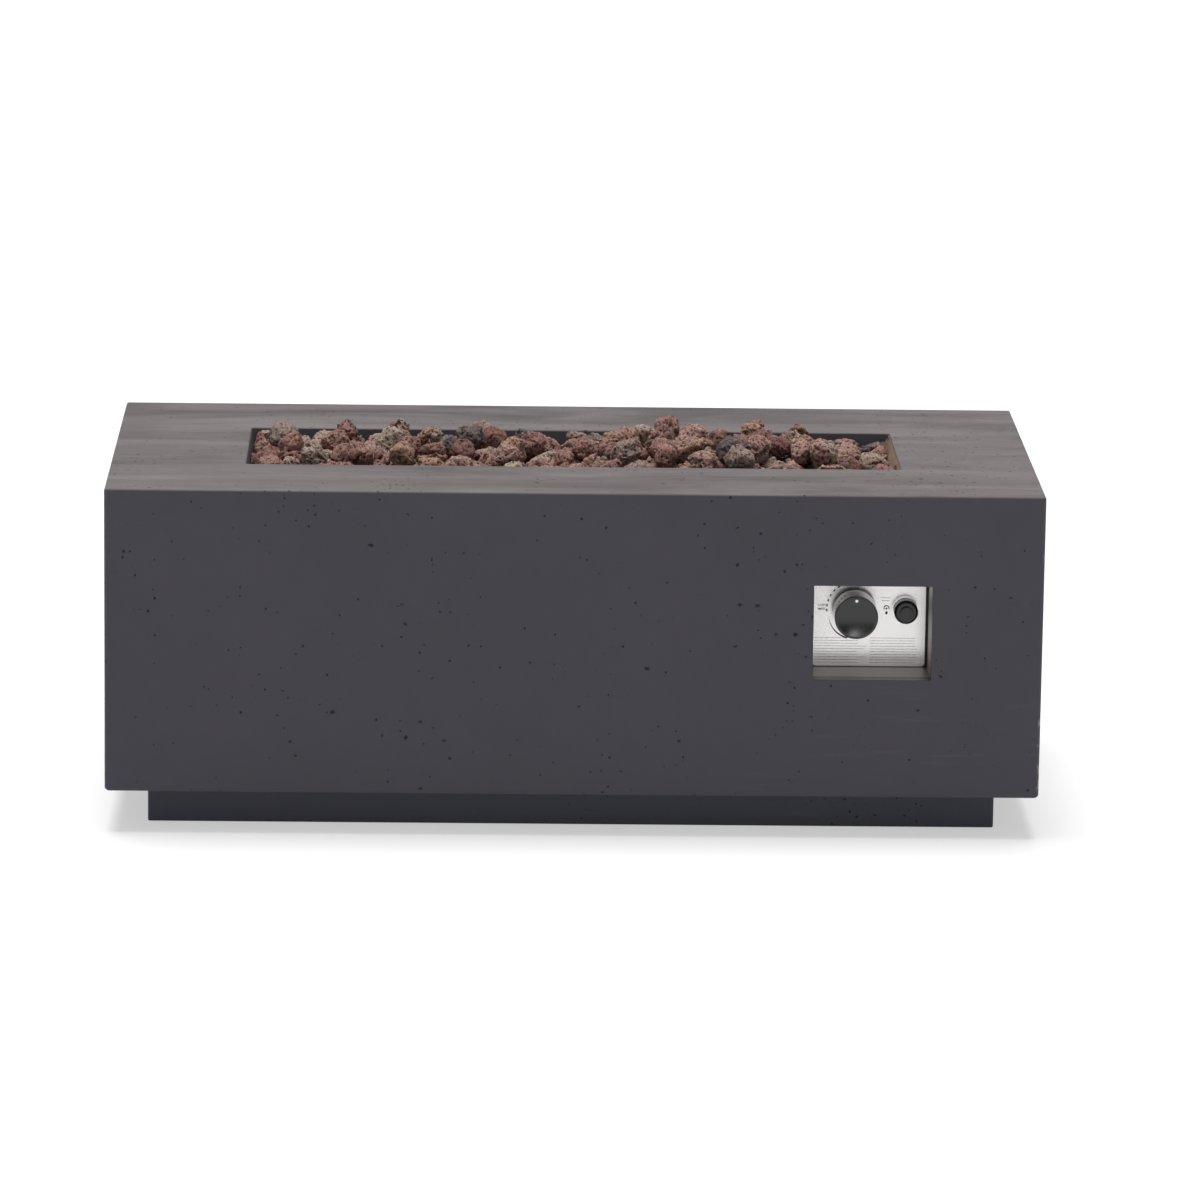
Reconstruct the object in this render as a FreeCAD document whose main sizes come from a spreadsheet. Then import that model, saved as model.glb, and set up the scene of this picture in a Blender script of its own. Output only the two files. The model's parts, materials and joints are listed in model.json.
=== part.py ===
"""Gas fire pit table: a low rectangular cast body with a trough of lava rock along its top.

Millimetres, +Z up. The origin is on the floor under the middle of the body. The controls are in a
pocket of the front wall, which faces -Y, and the gas inlet is at the back.
"""
import FreeCAD, Part

import math
import os
import random
import re

import Sketcher

doc = FreeCAD.newDocument("gas_fire_pit_table")

# Driving sizes: alias, number in millimetres or degrees, and what it is
SIZES = [
    ("body_length", 1016, "cast body, left to right"),
    ("body_depth", 508, "cast body, front to back"),
    ("total_height", 381, "floor to the body's top"),
    ("plinth_height", 46, "floor to the body's lower edge"),
    ("shell_wall", 14, "side wall of the cast body"),
    ("roof_thickness", 16, "top slab"),
    ("upright_round", 3, "radius of the upright edges"),
    ("top_round", 2.5, "radius of the top outer edge"),
    ("bottom_round", 5, "radius of the lower outer edge"),
    ("plinth_inset", 45, "plinth set back from the body's sides"),
    ("plinth_wall", 22, "wall of the plinth ring"),
    ("plinth_round", 2, "radius of the plinth's edges"),
    ("flange_thickness", 12, "plate of the plinth inside the body"),
    ("flange_play", 0.5, "gap between that plate and the body's walls"),
    ("foot_thickness", 2, "rubber foot"),
    ("foot_length", 60, "rubber foot"),
    ("foot_width", 10, "rubber foot"),
    ("foot_inset", 12, "rubber foot behind the plinth's face"),
    ("foot_from_end", 60, "middle of an outer foot from the plinth's end"),
    ("bracket_sheet", 3, "steel angle that ties body and plinth"),
    ("bracket_width", 40, "steel angle, along the wall"),
    ("bracket_leg", 36, "steel angle, leg on the plinth's plate"),
    ("bracket_rise", 44, "steel angle, leg up the wall"),
    ("bracket_from_end", 88, "middle of an outer angle from the body's end"),
    ("opening_length", 720, "fire trough at the top face"),
    ("opening_width", 212, "fire trough at the top face"),
    ("collar_depth", 50, "top face down to the ledge"),
    ("collar_draft", 9, "lean of the trough's walls, degrees"),
    ("collar_wall", 14, "cast wall round the trough"),
    ("rim_round", 2, "radius of the trough's top edge"),
    ("rim_corner", 4, "radius in the trough's corners"),
    ("ledge_width", 16, "ledge that carries the burner pan"),
    ("ledge_thickness", 12, "ledge that carries the burner pan"),
    ("pan_sheet", 1.2, "steel sheet of the burner pan"),
    ("pan_flange_gap", 2, "pan flange to the trough's wall"),
    ("pan_body_gap", 2, "pan body to the ledge"),
    ("pan_depth", 43, "ledge down to the pan's floor"),
    ("pan_corner", 8, "outer corner radius of the pan"),
    ("drain_radius", 2.5, "drain hole in the pan's floor"),
    ("drain_spread", 290, "drain holes, middle to outer hole"),
    ("pan_screw_spread", 230, "pan screws, middle to outer screw"),
    ("burner_length", 540, "long burner tubes"),
    ("burner_spacing", 84, "between the long tubes' axes"),
    ("burner_lift", 24, "burner axis over the pan's floor"),
    ("burner_radius", 9.5, "outer radius of the burner tubes"),
    ("burner_wall", 1.2, "wall of the burner tubes"),
    ("cross_radius", 8.8, "outer radius of the tube between the two burner tubes"),
    ("port_radius", 1.2, "flame port"),
    ("port_pitch", 20, "between flame ports"),
    ("stub_radius", 8, "feed stub under the burner"),
    ("stub_drop", 24, "feed stub below the pan's floor"),
    ("support_spread", 200, "burner saddles, middle to saddle"),
    ("support_width", 26, "burner saddle across the tube"),
    ("support_length", 14, "burner saddle along the tube"),
    ("lock_nut_height", 8, "nut that clamps the burner to the pan"),
    ("lock_nut_reach", 15, "nut corner radius"),
    ("mixer_radius", 14, "air mixer"),
    ("mixer_length", 50, "air mixer"),
    ("mixer_bore", 9, "chamber of the air mixer"),
    ("mixer_end", 9, "end wall of the air mixer"),
    ("mixer_socket", 15, "depth of the stub's socket"),
    ("air_port_radius", 4.5, "side hole of the air mixer"),
    ("injector_radius", 6, "threaded part of the injector"),
    ("injector_head", 10, "hexagon of the injector"),
    ("injector_reach", 8.5, "hexagon corner radius"),
    ("jet_radius", 0.9, "gas jet"),
    ("elbow_radius", 8, "elbow under the injector"),
    ("elbow_drop", 20, "height of the elbow"),
    ("elbow_arm", 26, "elbow axis to its mouth"),
    ("hood_offset", 170, "burner middle to the ignition hood"),
    ("hood_length", 60, "ignition hood"),
    ("hood_width", 46, "ignition hood"),
    ("hood_height", 40, "ignition hood"),
    ("hood_sheet", 1, "ignition hood"),
    ("hood_foot", 14, "foot of the ignition hood"),
    ("hood_slot", 4, "slot in the hood's sides"),
    ("probe_spread", 12, "hood middle to electrode or probe"),
    ("insulator_radius", 3.5, "ceramic of the spark electrode"),
    ("insulator_collar", 5.5, "collar of the ceramic"),
    ("electrode_radius", 1, "spark electrode"),
    ("probe_radius", 3, "thermocouple"),
    ("tip_rise", 31, "electrode tip over the pan's floor"),
    ("tail_drop", 18, "insulator and probe below their bracket"),
    ("collar_height", 5, "collars of insulator and probe"),
    ("bracket_plate", 1.5, "plate that holds electrode and probe"),
    ("bed_gap", 2, "lava bed to the pan's walls"),
    ("bed_rise", 15, "top of the packed bed over the ledge"),
    ("bed_step", 4.2, "bed's wide part over the ledge"),
    ("channel_gap", 2, "lava bed to the burner"),
    ("seat_gap", 0.3, "loose piece to what it rests on"),
    ("stone_pitch", 31, "between stones of the bottom layer"),
    ("stone_rise", 16, "stone centres over the bed"),
    ("stone_play", 0.15, "each stone's face to the plane it shares"),
    ("pocket_width", 128.5, "control pocket"),
    ("pocket_height", 104, "control pocket"),
    ("pocket_from_right", 184.7, "pocket middle from the body's right side"),
    ("pocket_from_top", 151.8, "pocket middle below the body's top"),
    ("pocket_round", 1, "radius of the pocket's front edge"),
    ("boss_thickness", 18, "front wall at the pocket"),
    ("boss_margin", 26, "thick stretch round the pocket"),
    ("panel_setback", 66, "front face to the control panel"),
    ("panel_gap", 0.75, "panel's long edges to the pocket"),
    ("panel_side_gap", 2.8, "panel's short edges to the pocket"),
    ("panel_sheet", 1.5, "control panel"),
    ("panel_corner", 4, "control panel"),
    ("housing_wall", 2, "sleeve behind the pocket"),
    ("housing_lip", 8, "inner lip that the panel rests on"),
    ("housing_flange", 18, "outer flange on the front wall"),
    ("housing_screw_rise", 30, "flange screws from the pocket's middle"),
    ("stud_length", 10, "welded studs of the panel"),
    ("nut_height", 3.2, "nuts on the studs"),
    ("nut_reach", 4, "nut corner radius"),
    ("shield_sheet", 1, "heat shield"),
    ("shield_margin", 4, "heat shield past the sleeve's sides"),
    ("shield_reach", 84, "heat shield past the sleeve's back"),
    ("screw_radius", 2, "small screw"),
    ("screw_head_radius", 3.6, "small screw"),
    ("screw_head_height", 2.2, "small screw"),
    ("screw_bite", 10, "small screw, depth in the cast wall"),
    ("bolt_radius", 3, "bracket screw"),
    ("bolt_head_radius", 5.2, "bracket screw"),
    ("bolt_head_height", 3.2, "bracket screw"),
    ("bolt_bite", 10, "bracket screw, depth in the cast wall"),
    ("thread_play", 0.06, "radial play of threads and fits"),
    ("knob_offset", 16.8, "knob axis left of the panel's middle"),
    ("igniter_offset", 39.2, "igniter axis right of the panel's middle"),
    ("control_rise", 12.8, "both axes above the panel's middle"),
    ("knob_radius", 23.7, "control knob"),
    ("knob_length", 35, "control knob"),
    ("knob_standoff", 12, "knob's back to the panel"),
    ("knob_wall", 2.4, "control knob"),
    ("knob_face", 3, "control knob"),
    ("knob_round", 1.2, "edge of the knob's face"),
    ("dish_radius", 21, "rim of the hollow in the knob's face"),
    ("dish_depth", 0.8, "hollow in the knob's face"),
    ("hub_radius", 7.5, "hub inside the knob"),
    ("hub_socket", 22, "depth of the spindle in the hub"),
    ("dot_radius", 1.6, "pointer dot"),
    ("dot_offset", 18.6, "pointer dot from the knob's axis"),
    ("dot_depth", 0.8, "pointer dot"),
    ("clip_width", 5, "spring clip on the hub"),
    ("clip_sheet", 1.2, "spring clip on the hub"),
    ("push_travel", 4, "travel of the knob"),
    ("spindle_radius", 4, "valve spindle"),
    ("spindle_flat", 3, "flat of the spindle from its axis"),
    ("spindle_collar", 6.5, "collar of the spindle"),
    ("collar_thickness", 2, "collar of the spindle"),
    ("tip_radius", 1.8, "thin end of the spindle"),
    ("tip_length", 4, "thin end of the spindle"),
    ("cap_width", 46, "valve cap, left to right"),
    ("cap_height", 32, "valve cap, up and down"),
    ("cap_thickness", 6, "valve cap"),
    ("mount_screw_spread", 17, "valve axis to the screws in the panel"),
    ("cap_screw_spread", 11, "valve axis to the cap's own screws"),
    ("valve_radius", 15, "valve body"),
    ("valve_length", 54, "valve body"),
    ("plug_radius", 8, "turning plug of the valve"),
    ("plug_length", 16, "turning plug of the valve"),
    ("plug_offset", 10.5, "valve cap to the plug"),
    ("seat_thickness", 5, "wall with the safety seat"),
    ("seat_radius", 4.3, "hole in the safety seat"),
    ("chamber_radius", 7, "rear chamber of the valve"),
    ("gas_port_radius", 3, "gas ways in the valve"),
    ("boss_radius", 7, "inlet and outlet of the valve"),
    ("boss_reach", 27, "valve axis to the end of a boss"),
    ("poppet_radius", 5.5, "safety poppet"),
    ("poppet_thickness", 3, "safety poppet"),
    ("stem_radius", 1.8, "stem of the poppet"),
    ("stem_length", 12, "stem of the poppet"),
    ("armature_radius", 4, "iron disc on the stem"),
    ("armature_thickness", 2, "iron disc on the stem"),
    ("magnet_nut", 8, "hexagon of the magnet unit"),
    ("magnet_reach", 10, "hexagon corner radius"),
    ("magnet_tail", 10, "tail of the magnet unit"),
    ("tail_radius", 3.5, "tail of the magnet unit"),
    ("coil_wire", 0.4, "radius of the spring wire"),
    ("coil_pitch", 2, "pitch of the springs at rest"),
    ("barrel_radius", 11, "threaded front of the igniter"),
    ("barrel_front", 10, "igniter thread in front of the panel"),
    ("barrel_flange", 14, "igniter flange behind the panel"),
    ("barrel_flange_thickness", 2.5, "igniter flange behind the panel"),
    ("barrel_rear_radius", 12.5, "rear of the igniter"),
    ("barrel_rear", 56, "rear of the igniter behind the flange"),
    ("ring_nut_radius", 13.7, "round nut of the igniter"),
    ("ring_nut_height", 3.4, "round nut of the igniter"),
    ("igniter_cap_radius", 13.1, "igniter cap"),
    ("igniter_cap_length", 15, "igniter cap"),
    ("igniter_cap_nose", 10.6, "front radius of the igniter cap"),
    ("igniter_nose_length", 3, "bevel of the igniter cap"),
    ("flute_radius", 0.9, "grip flute of the igniter cap"),
    ("flute_count", 22, "grip flutes"),
    ("button_radius", 6.5, "igniter button"),
    ("button_proud", 4.5, "button in front of the cap"),
    ("button_flange", 8.6, "flange of the button"),
    ("button_flange_thickness", 1.5, "flange of the button"),
    ("button_play", 0.1, "radial play of the button"),
    ("battery_radius", 7.1, "igniter battery"),
    ("battery_length", 50, "igniter battery"),
    ("battery_recess", 1.5, "battery behind the barrel's front edge"),
    ("tab_width", 6, "terminal tab"),
    ("tab_sheet", 0.8, "terminal tab"),
    ("tab_length", 8, "terminal tab"),
    ("tab_spread", 5, "igniter axis to a tab"),
    ("inlet_height", 24, "gas inlet above the floor"),
    ("inlet_thread", 8, "threaded shank of the inlet"),
    ("inlet_hex", 13, "hexagon corner radius of the inlet"),
    ("inlet_hex_height", 6, "hexagon of the inlet"),
    ("flare_radius", 7.94, "male flare of the inlet"),
    ("flare_length", 14, "male flare of the inlet"),
    ("inlet_bore", 3.5, "bore of the inlet"),
    ("inlet_tail", 14, "inlet shank inside the plinth"),
    ("washer_thickness", 1.5, "inlet washer"),
    ("washer_radius", 14, "inlet washer"),
    ("pipe_radius", 4.75, "gas tubes"),
    ("pipe_bore", 3.5, "gas tubes"),
    ("pipe_bend", 34, "bend radius of the gas tubes"),
    ("pipe_low", 110, "height of the supply tube's long run"),
    ("flare_nut_length", 12, "nuts on the gas tubes"),
    ("flare_nut_reach", 9, "nut corner radius"),
    ("lead_radius", 1.6, "thermocouple lead"),
    ("wire_radius", 2.5, "ignition wire"),
    ("lead_bend", 16, "bend radius of the leads"),
    ("vent_length", 200, "air opening in the back wall"),
    ("vent_height", 64, "air opening in the back wall"),
    ("vent_rise", 190, "middle of the air opening over the floor"),
    ("vent_sheet", 1.2, "vent grille"),
    ("vent_margin", 14, "grille past the opening"),
    ("slot_length", 176, "slot of the grille"),
    ("slot_height", 5, "slot of the grille"),
    ("slot_pitch", 11, "between the grille's slots"),
    ("slot_count", 5, "slots of the grille"),
]

# Places and lengths that follow from the driving sizes
PLACES = [
    ("half_length", "body_length / 2"),
    ("half_depth", "body_depth / 2"),
    ("room_length", "body_length - 2 * shell_wall"),
    ("room_depth", "body_depth - 2 * shell_wall"),
    ("roof_under", "total_height - roof_thickness"),
    ("plate_top", "plinth_height + flange_thickness"),
    ("plinth_length", "body_length - 2 * plinth_inset"),
    ("plinth_depth", "body_depth - 2 * plinth_inset"),
    ("well_length", "plinth_length - 2 * plinth_wall"),
    ("well_depth", "plinth_depth - 2 * plinth_wall"),
    ("draft_inset", "collar_depth * tan(collar_draft * 1 deg)"),
    ("collar_length", "opening_length + 2 * collar_wall"),
    ("collar_width", "opening_width + 2 * collar_wall"),
    ("ledge_top", "total_height - collar_depth"),
    ("ledge_under", "ledge_top - ledge_thickness"),
    ("seat_length", "opening_length - 2 * draft_inset"),
    ("seat_width", "opening_width - 2 * draft_inset"),
    ("drop_length", "seat_length - 2 * ledge_width"),
    ("drop_width", "seat_width - 2 * ledge_width"),
    ("pan_length", "drop_length - 2 * pan_body_gap"),
    ("pan_width", "drop_width - 2 * pan_body_gap"),
    ("pan_floor", "ledge_top - pan_depth"),
    ("pan_under", "pan_floor - pan_sheet"),
    ("burner_axis", "pan_floor + burner_lift"),
    ("tube_offset", "burner_spacing / 2"),
    ("mixer_top", "pan_under - lock_nut_height - seat_gap"),
    ("mixer_under", "mixer_top - mixer_length"),
    ("injector_under", "mixer_under - injector_head"),
    ("elbow_axis", "injector_under - elbow_drop / 2"),
    ("hood_top", "pan_floor + hood_height"),
    ("holder_under", "pan_under - bracket_plate"),
    ("electrode_x", "hood_offset - probe_spread"),
    ("probe_x", "hood_offset + probe_spread"),
    ("hood_screw_spread", "(hood_length + hood_foot) / 2"),
    ("bed_top", "ledge_top + bed_rise"),
    ("panel_x", "half_length - pocket_from_right"),
    ("panel_z", "total_height - pocket_from_top"),
    ("knob_x", "panel_x - knob_offset"),
    ("igniter_x", "panel_x + igniter_offset"),
    ("control_z", "panel_z + control_rise"),
    ("boss_back", "boss_thickness - half_depth"),
    ("panel_front", "panel_setback - half_depth"),
    ("panel_back", "panel_front + panel_sheet"),
    ("lip_back", "panel_back + housing_wall"),
    ("sleeve_top", "panel_z + pocket_height / 2 + housing_wall"),
    ("stud_x", "(pocket_width - panel_side_gap - housing_lip) / 2"),
    ("stud_z", "(pocket_height - housing_lip) / 2"),
    ("flange_screw_x", "(pocket_width + housing_wall + housing_flange) / 2"),
    ("valve_front", "panel_back + cap_thickness"),
    ("valve_back", "valve_front + valve_length"),
    ("plug_front", "valve_front + plug_offset"),
    ("plug_back", "plug_front + plug_length"),
    ("seat_front", "plug_back + 2 * seat_gap"),
    ("spring_front", "valve_front + thread_play + collar_thickness"),
    ("seat_back", "seat_front + seat_thickness"),
    ("spindle_back", "seat_front"),
    ("poppet_front", "seat_back + seat_gap / 3"),
    ("stem_front", "spindle_back + seat_gap"),
    ("poppet_rear", "poppet_front + poppet_thickness"),
    ("armature_back", "poppet_front + stem_length"),
    ("magnet_front", "armature_back + push_travel + seat_gap"),
    ("magnet_back", "valve_back + magnet_nut + magnet_tail"),
    ("outlet_y", "plug_front + plug_length / 2"),
    ("inlet_y", "seat_back + poppet_thickness + push_travel"),
    ("barrel_back", "panel_back + barrel_flange_thickness + barrel_rear"),
    ("igniter_cap_back", "panel_front - ring_nut_height - seat_gap"),
    ("igniter_cap_front", "igniter_cap_back - igniter_cap_length"),
    ("barrel_mouth", "panel_front - barrel_front"),
    ("button_back", "barrel_mouth - push_travel - seat_gap"),
    ("battery_front", "barrel_mouth + battery_recess"),
    ("plinth_back", "plinth_depth / 2"),
    ("well_back", "well_depth / 2"),
]


def make_sheet(name, rows, head=""):
    """Spreadsheet with one aliased value in each row."""
    page = doc.addObject("Spreadsheet::Sheet", name)
    for row, (alias, content) in enumerate(rows, start=1):
        page.set(f"A{row}", alias)
        page.set(f"B{row}", f"{head}{content}")
        page.setAlias(f"B{row}", alias)
    return page


WORD = re.compile(r"[a-z][a-z0-9_]*")
SIZE_NAMES = {alias for alias, number, note in SIZES}
PLACE_NAMES = {alias for alias, formula in PLACES}


def linked(text):
    """The same formula with each alias written as its spreadsheet's cell."""
    def cell(match):
        word = match.group(0)
        if word in SIZE_NAMES:
            return f"Sizes.{word}"
        return f"Places.{word}" if word in PLACE_NAMES else word
    return WORD.sub(cell, str(text))


sizes = make_sheet("Sizes", [(alias, number) for alias, number, note in SIZES])
for row, (alias, number, note) in enumerate(SIZES, start=1):
    sizes.set(f"C{row}", note)
places = make_sheet("Places", [(alias, linked(formula)) for alias, formula in PLACES], "=")
doc.recompute()

subparts = []
AXES = {
    "+X": FreeCAD.Vector(1, 0, 0), "-X": FreeCAD.Vector(-1, 0, 0),
    "+Y": FreeCAD.Vector(0, 1, 0), "-Y": FreeCAD.Vector(0, -1, 0),
    "+Z": FreeCAD.Vector(0, 0, 1), "-Z": FreeCAD.Vector(0, 0, -1),
}


def number(alias):
    """Value of a driving size or of a place."""
    page = sizes if alias in SIZE_NAMES else places
    return float(page.get(alias))


def bind(item, prop, text):
    """Tie a property to a formula of sizes and places."""
    item.setExpression(prop, linked(text))


def place(item, at, along="+Z"):
    """Turn an item's own +Z to a main axis and tie its position to formulas."""
    turn = FreeCAD.Rotation(AXES["+Z"], AXES[along])
    item.Placement = FreeCAD.Placement(FreeCAD.Vector(), turn)
    for axis, text in zip("xyz", at):
        bind(item, f"Placement.Base.{axis}", text)
    return item


def keep(item, label):
    """Name an item as one sub-part of the table."""
    item.Label = label
    subparts.append(item)
    return item


def box(name, size, middle, foot):
    """Block centred on x and y, standing on the height foot."""
    item = doc.addObject("Part::Box", name)
    for prop, text in zip(("Length", "Width", "Height"), size):
        bind(item, prop, text)
    x, y = middle
    return place(item, (f"{x} - ({size[0]}) / 2", f"{y} - ({size[1]}) / 2", foot))


def rod(name, radius, length, at, along="+Z"):
    """Cylinder that starts at a point and runs along a main axis."""
    item = doc.addObject("Part::Cylinder", name)
    bind(item, "Radius", radius)
    bind(item, "Height", length)
    return place(item, at, along)


def cone(name, first, last, length, at, along="+Z"):
    """Cone from the radius first to the radius last."""
    item = doc.addObject("Part::Cone", name)
    bind(item, "Radius1", first)
    bind(item, "Radius2", last)
    bind(item, "Height", length)
    return place(item, at, along)


def ball(name, radius, at):
    """Sphere round a point."""
    item = doc.addObject("Part::Sphere", name)
    bind(item, "Radius", radius)
    return place(item, at)


def hexagon(name, reach, length, at, along="+Z"):
    """Six-sided bar; reach is the distance from its axis to a corner."""
    item = doc.addObject("Part::Prism", name)
    item.Polygon = 6
    bind(item, "Circumradius", reach)
    bind(item, "Height", length)
    return place(item, at, along)


def fuse(name, items):
    """One solid of several that overlap or touch."""
    item = doc.addObject("Part::MultiFuse", name)
    item.Shapes = items
    item.Refine = True
    return item


def group(name, items):
    """Separate solids kept side by side."""
    item = doc.addObject("Part::Compound", name)
    item.Links = items
    return item


def cut(name, base, tools):
    """Base less the tools."""
    item = doc.addObject("Part::Cut", name)
    item.Base = base
    item.Tool = tools[0] if len(tools) == 1 else fuse(f"{name}_tools", tools)
    item.Refine = True
    return item


def ring(name, outer, inner, length, at, along="+Z"):
    """Tube or washer."""
    return cut(name, rod(f"{name}_outer", outer, length, at, along),
               [rod(f"{name}_inner", inner, length, at, along)])


def nut(name, reach, inner, length, at, along="+Z"):
    """Hexagon nut."""
    return cut(name, hexagon(f"{name}_hexagon", reach, length, at, along),
               [rod(f"{name}_bore", inner, length, at, along)])


def shifted(at, along, amount):
    """A point moved by an amount along a main axis."""
    steps = AXES[along]
    return tuple(f"{text} + ({int(step)}) * ({amount})" if step else text
                 for text, step in zip(at, (steps.x, steps.y, steps.z)))


OPPOSITE = {"+X": "-X", "-X": "+X", "+Y": "-Y", "-Y": "+Y", "+Z": "-Z", "-Z": "+Z"}


def screw(name, kind, length, at, along):
    """Screw whose head bears on the point at and whose shank runs along an axis."""
    shank = rod(f"{name}_shank", f"{kind}_radius", length, at, along)
    head = rod(f"{name}_head", f"{kind}_head_radius", f"{kind}_head_height", at, OPPOSITE[along])
    return fuse(name, [shank, head])


def screw_hole(name, kind, length, at, along):
    """Tool for the hole that a screw of this kind runs through."""
    return rod(name, f"{kind}_radius + thread_play", length, at, along)


def new_body(name):
    """Empty PartDesign body."""
    return doc.addObject("PartDesign::Body", name)


def sketch_on(body, name, plane, shift=("0", "0", "0")):
    """Sketch on one of the body's own planes, moved by formulas."""
    sketch = body.newObject("Sketcher::SketchObject", name)
    origin = [item for item in body.Origin.OriginFeatures if item.Role == plane][0]
    sketch.AttachmentSupport = [(origin, "")]
    sketch.MapMode = "FlatFace"
    for axis, text in zip("xyz", shift):
        bind(sketch, f"AttachmentOffset.Base.{axis}", text)
    return sketch


def outline(sketch, points):
    """Closed outline whose corners are tied to formulas."""
    first = sketch.GeometryCount
    count = len(points)
    for i in range(count):
        # rough distinct starts; the constraints put each corner in its place
        start = FreeCAD.Vector(i + 1, i * i + 1, 0)
        end = FreeCAD.Vector(i + 2, (i + 1) * (i + 1) + 1, 0)
        sketch.addGeometry(Part.LineSegment(start, end))
    for i in range(count):
        sketch.addConstraint(
            Sketcher.Constraint("Coincident", first + i, 2, first + (i + 1) % count, 1))
    for i, corner in enumerate(points):
        for kind, text in zip(("DistanceX", "DistanceY"), corner):
            index = sketch.addConstraint(Sketcher.Constraint(kind, -1, 1, first + i, 1, 1.0))
            name = f"{kind}_{first + i}"
            sketch.renameConstraint(index, name)
            bind(sketch, f"Constraints.{name}", text)


def rectangle(sketch, width, height):
    """Rectangle centred on the sketch's origin."""
    outline(sketch, [(f"{a} * ({width}) / 2", f"{b} * ({height}) / 2")
                     for a, b in ((-1, -1), (1, -1), (1, 1), (-1, 1))])


def pad(body, name, sketch, length, backwards=False):
    """Material added on a sketch, towards its normal or away from it."""
    feature = body.newObject("PartDesign::Pad", name)
    feature.Profile = sketch
    feature.Reversed = backwards
    bind(feature, "Length", length)
    return feature


def pocket(body, name, sketch, length, backwards=False):
    """Material removed behind a sketch, or in front of it."""
    feature = body.newObject("PartDesign::Pocket", name)
    feature.Profile = sketch
    feature.Reversed = backwards
    bind(feature, "Length", length)
    return feature


def turned(body, name, section):
    """Solid of revolution about the body's own Y axis; the section is in x and y."""
    sketch = sketch_on(body, f"{name}_section", "XY_Plane")
    outline(sketch, section)
    feature = body.newObject("PartDesign::Revolution", name)
    feature.Profile = sketch
    feature.ReferenceAxis = (sketch, ["V_Axis"])
    feature.Angle = 360
    return feature


def round_edges(body, name, radius, wanted):
    """Fillet on the edges whose bounding box passes the test wanted."""
    doc.recompute()
    names = [f"Edge{i}" for i, edge in enumerate(body.Shape.Edges, start=1)
             if wanted(edge.BoundBox)]
    feature = body.newObject("PartDesign::Fillet", name)
    feature.Base = (body.Tip if body.Tip != feature else feature.BaseFeature, names)
    bind(feature, "Radius", radius)
    return feature


def near(one, other):
    """Two lengths are the same."""
    return abs(one - other) < 0.01


def upright(edge):
    """The edge is a straight upright one."""
    return edge.XLength < 0.01 and edge.YLength < 0.01


# Sides and corners that repeat
SIDES = (-1, 1)
THREE = (-1, 0, 1)


def bracket_spots():
    """Middle of each steel angle along the wall, and the side of the wall it is on."""
    return [(f"{i} * (half_length - bracket_from_end)", side) for i in THREE for side in SIDES]


def bolt_spots():
    """Bearing point, axis and bite of every bracket screw."""
    spots = []
    for x, side in bracket_spots():
        wall = "+Y" if side > 0 else "-Y"
        down = (x, f"{side} * (room_depth / 2 - bracket_leg / 2)", "plate_top + bracket_sheet")
        across = (x, f"{side} * (room_depth / 2 - bracket_sheet)", "plate_top + bracket_rise * 0.65")
        spots += [(down, "-Z"), (across, wall)]
    return spots


def pan_screw_spots():
    """Bearing point of every screw of the burner pan."""
    return [(f"{i} * pan_screw_spread", f"{side} * (drop_width + ledge_width) / 2",
             "ledge_top + pan_sheet") for i in THREE for side in SIDES]


def housing_screw_spots():
    """Bearing point of every screw of the pocket's sleeve."""
    return [(f"panel_x + {i} * flange_screw_x", "boss_back + housing_wall",
             f"panel_z + {k} * housing_screw_rise") for i in SIDES for k in SIDES]


def vent_screw_spots():
    """Bearing point of every screw of the rear grille."""
    return [(f"{i} * (vent_length + vent_margin) / 2", "room_depth / 2 - vent_sheet",
             f"vent_rise + {k} * (vent_height + vent_margin) / 2") for i in SIDES for k in SIDES]


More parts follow.
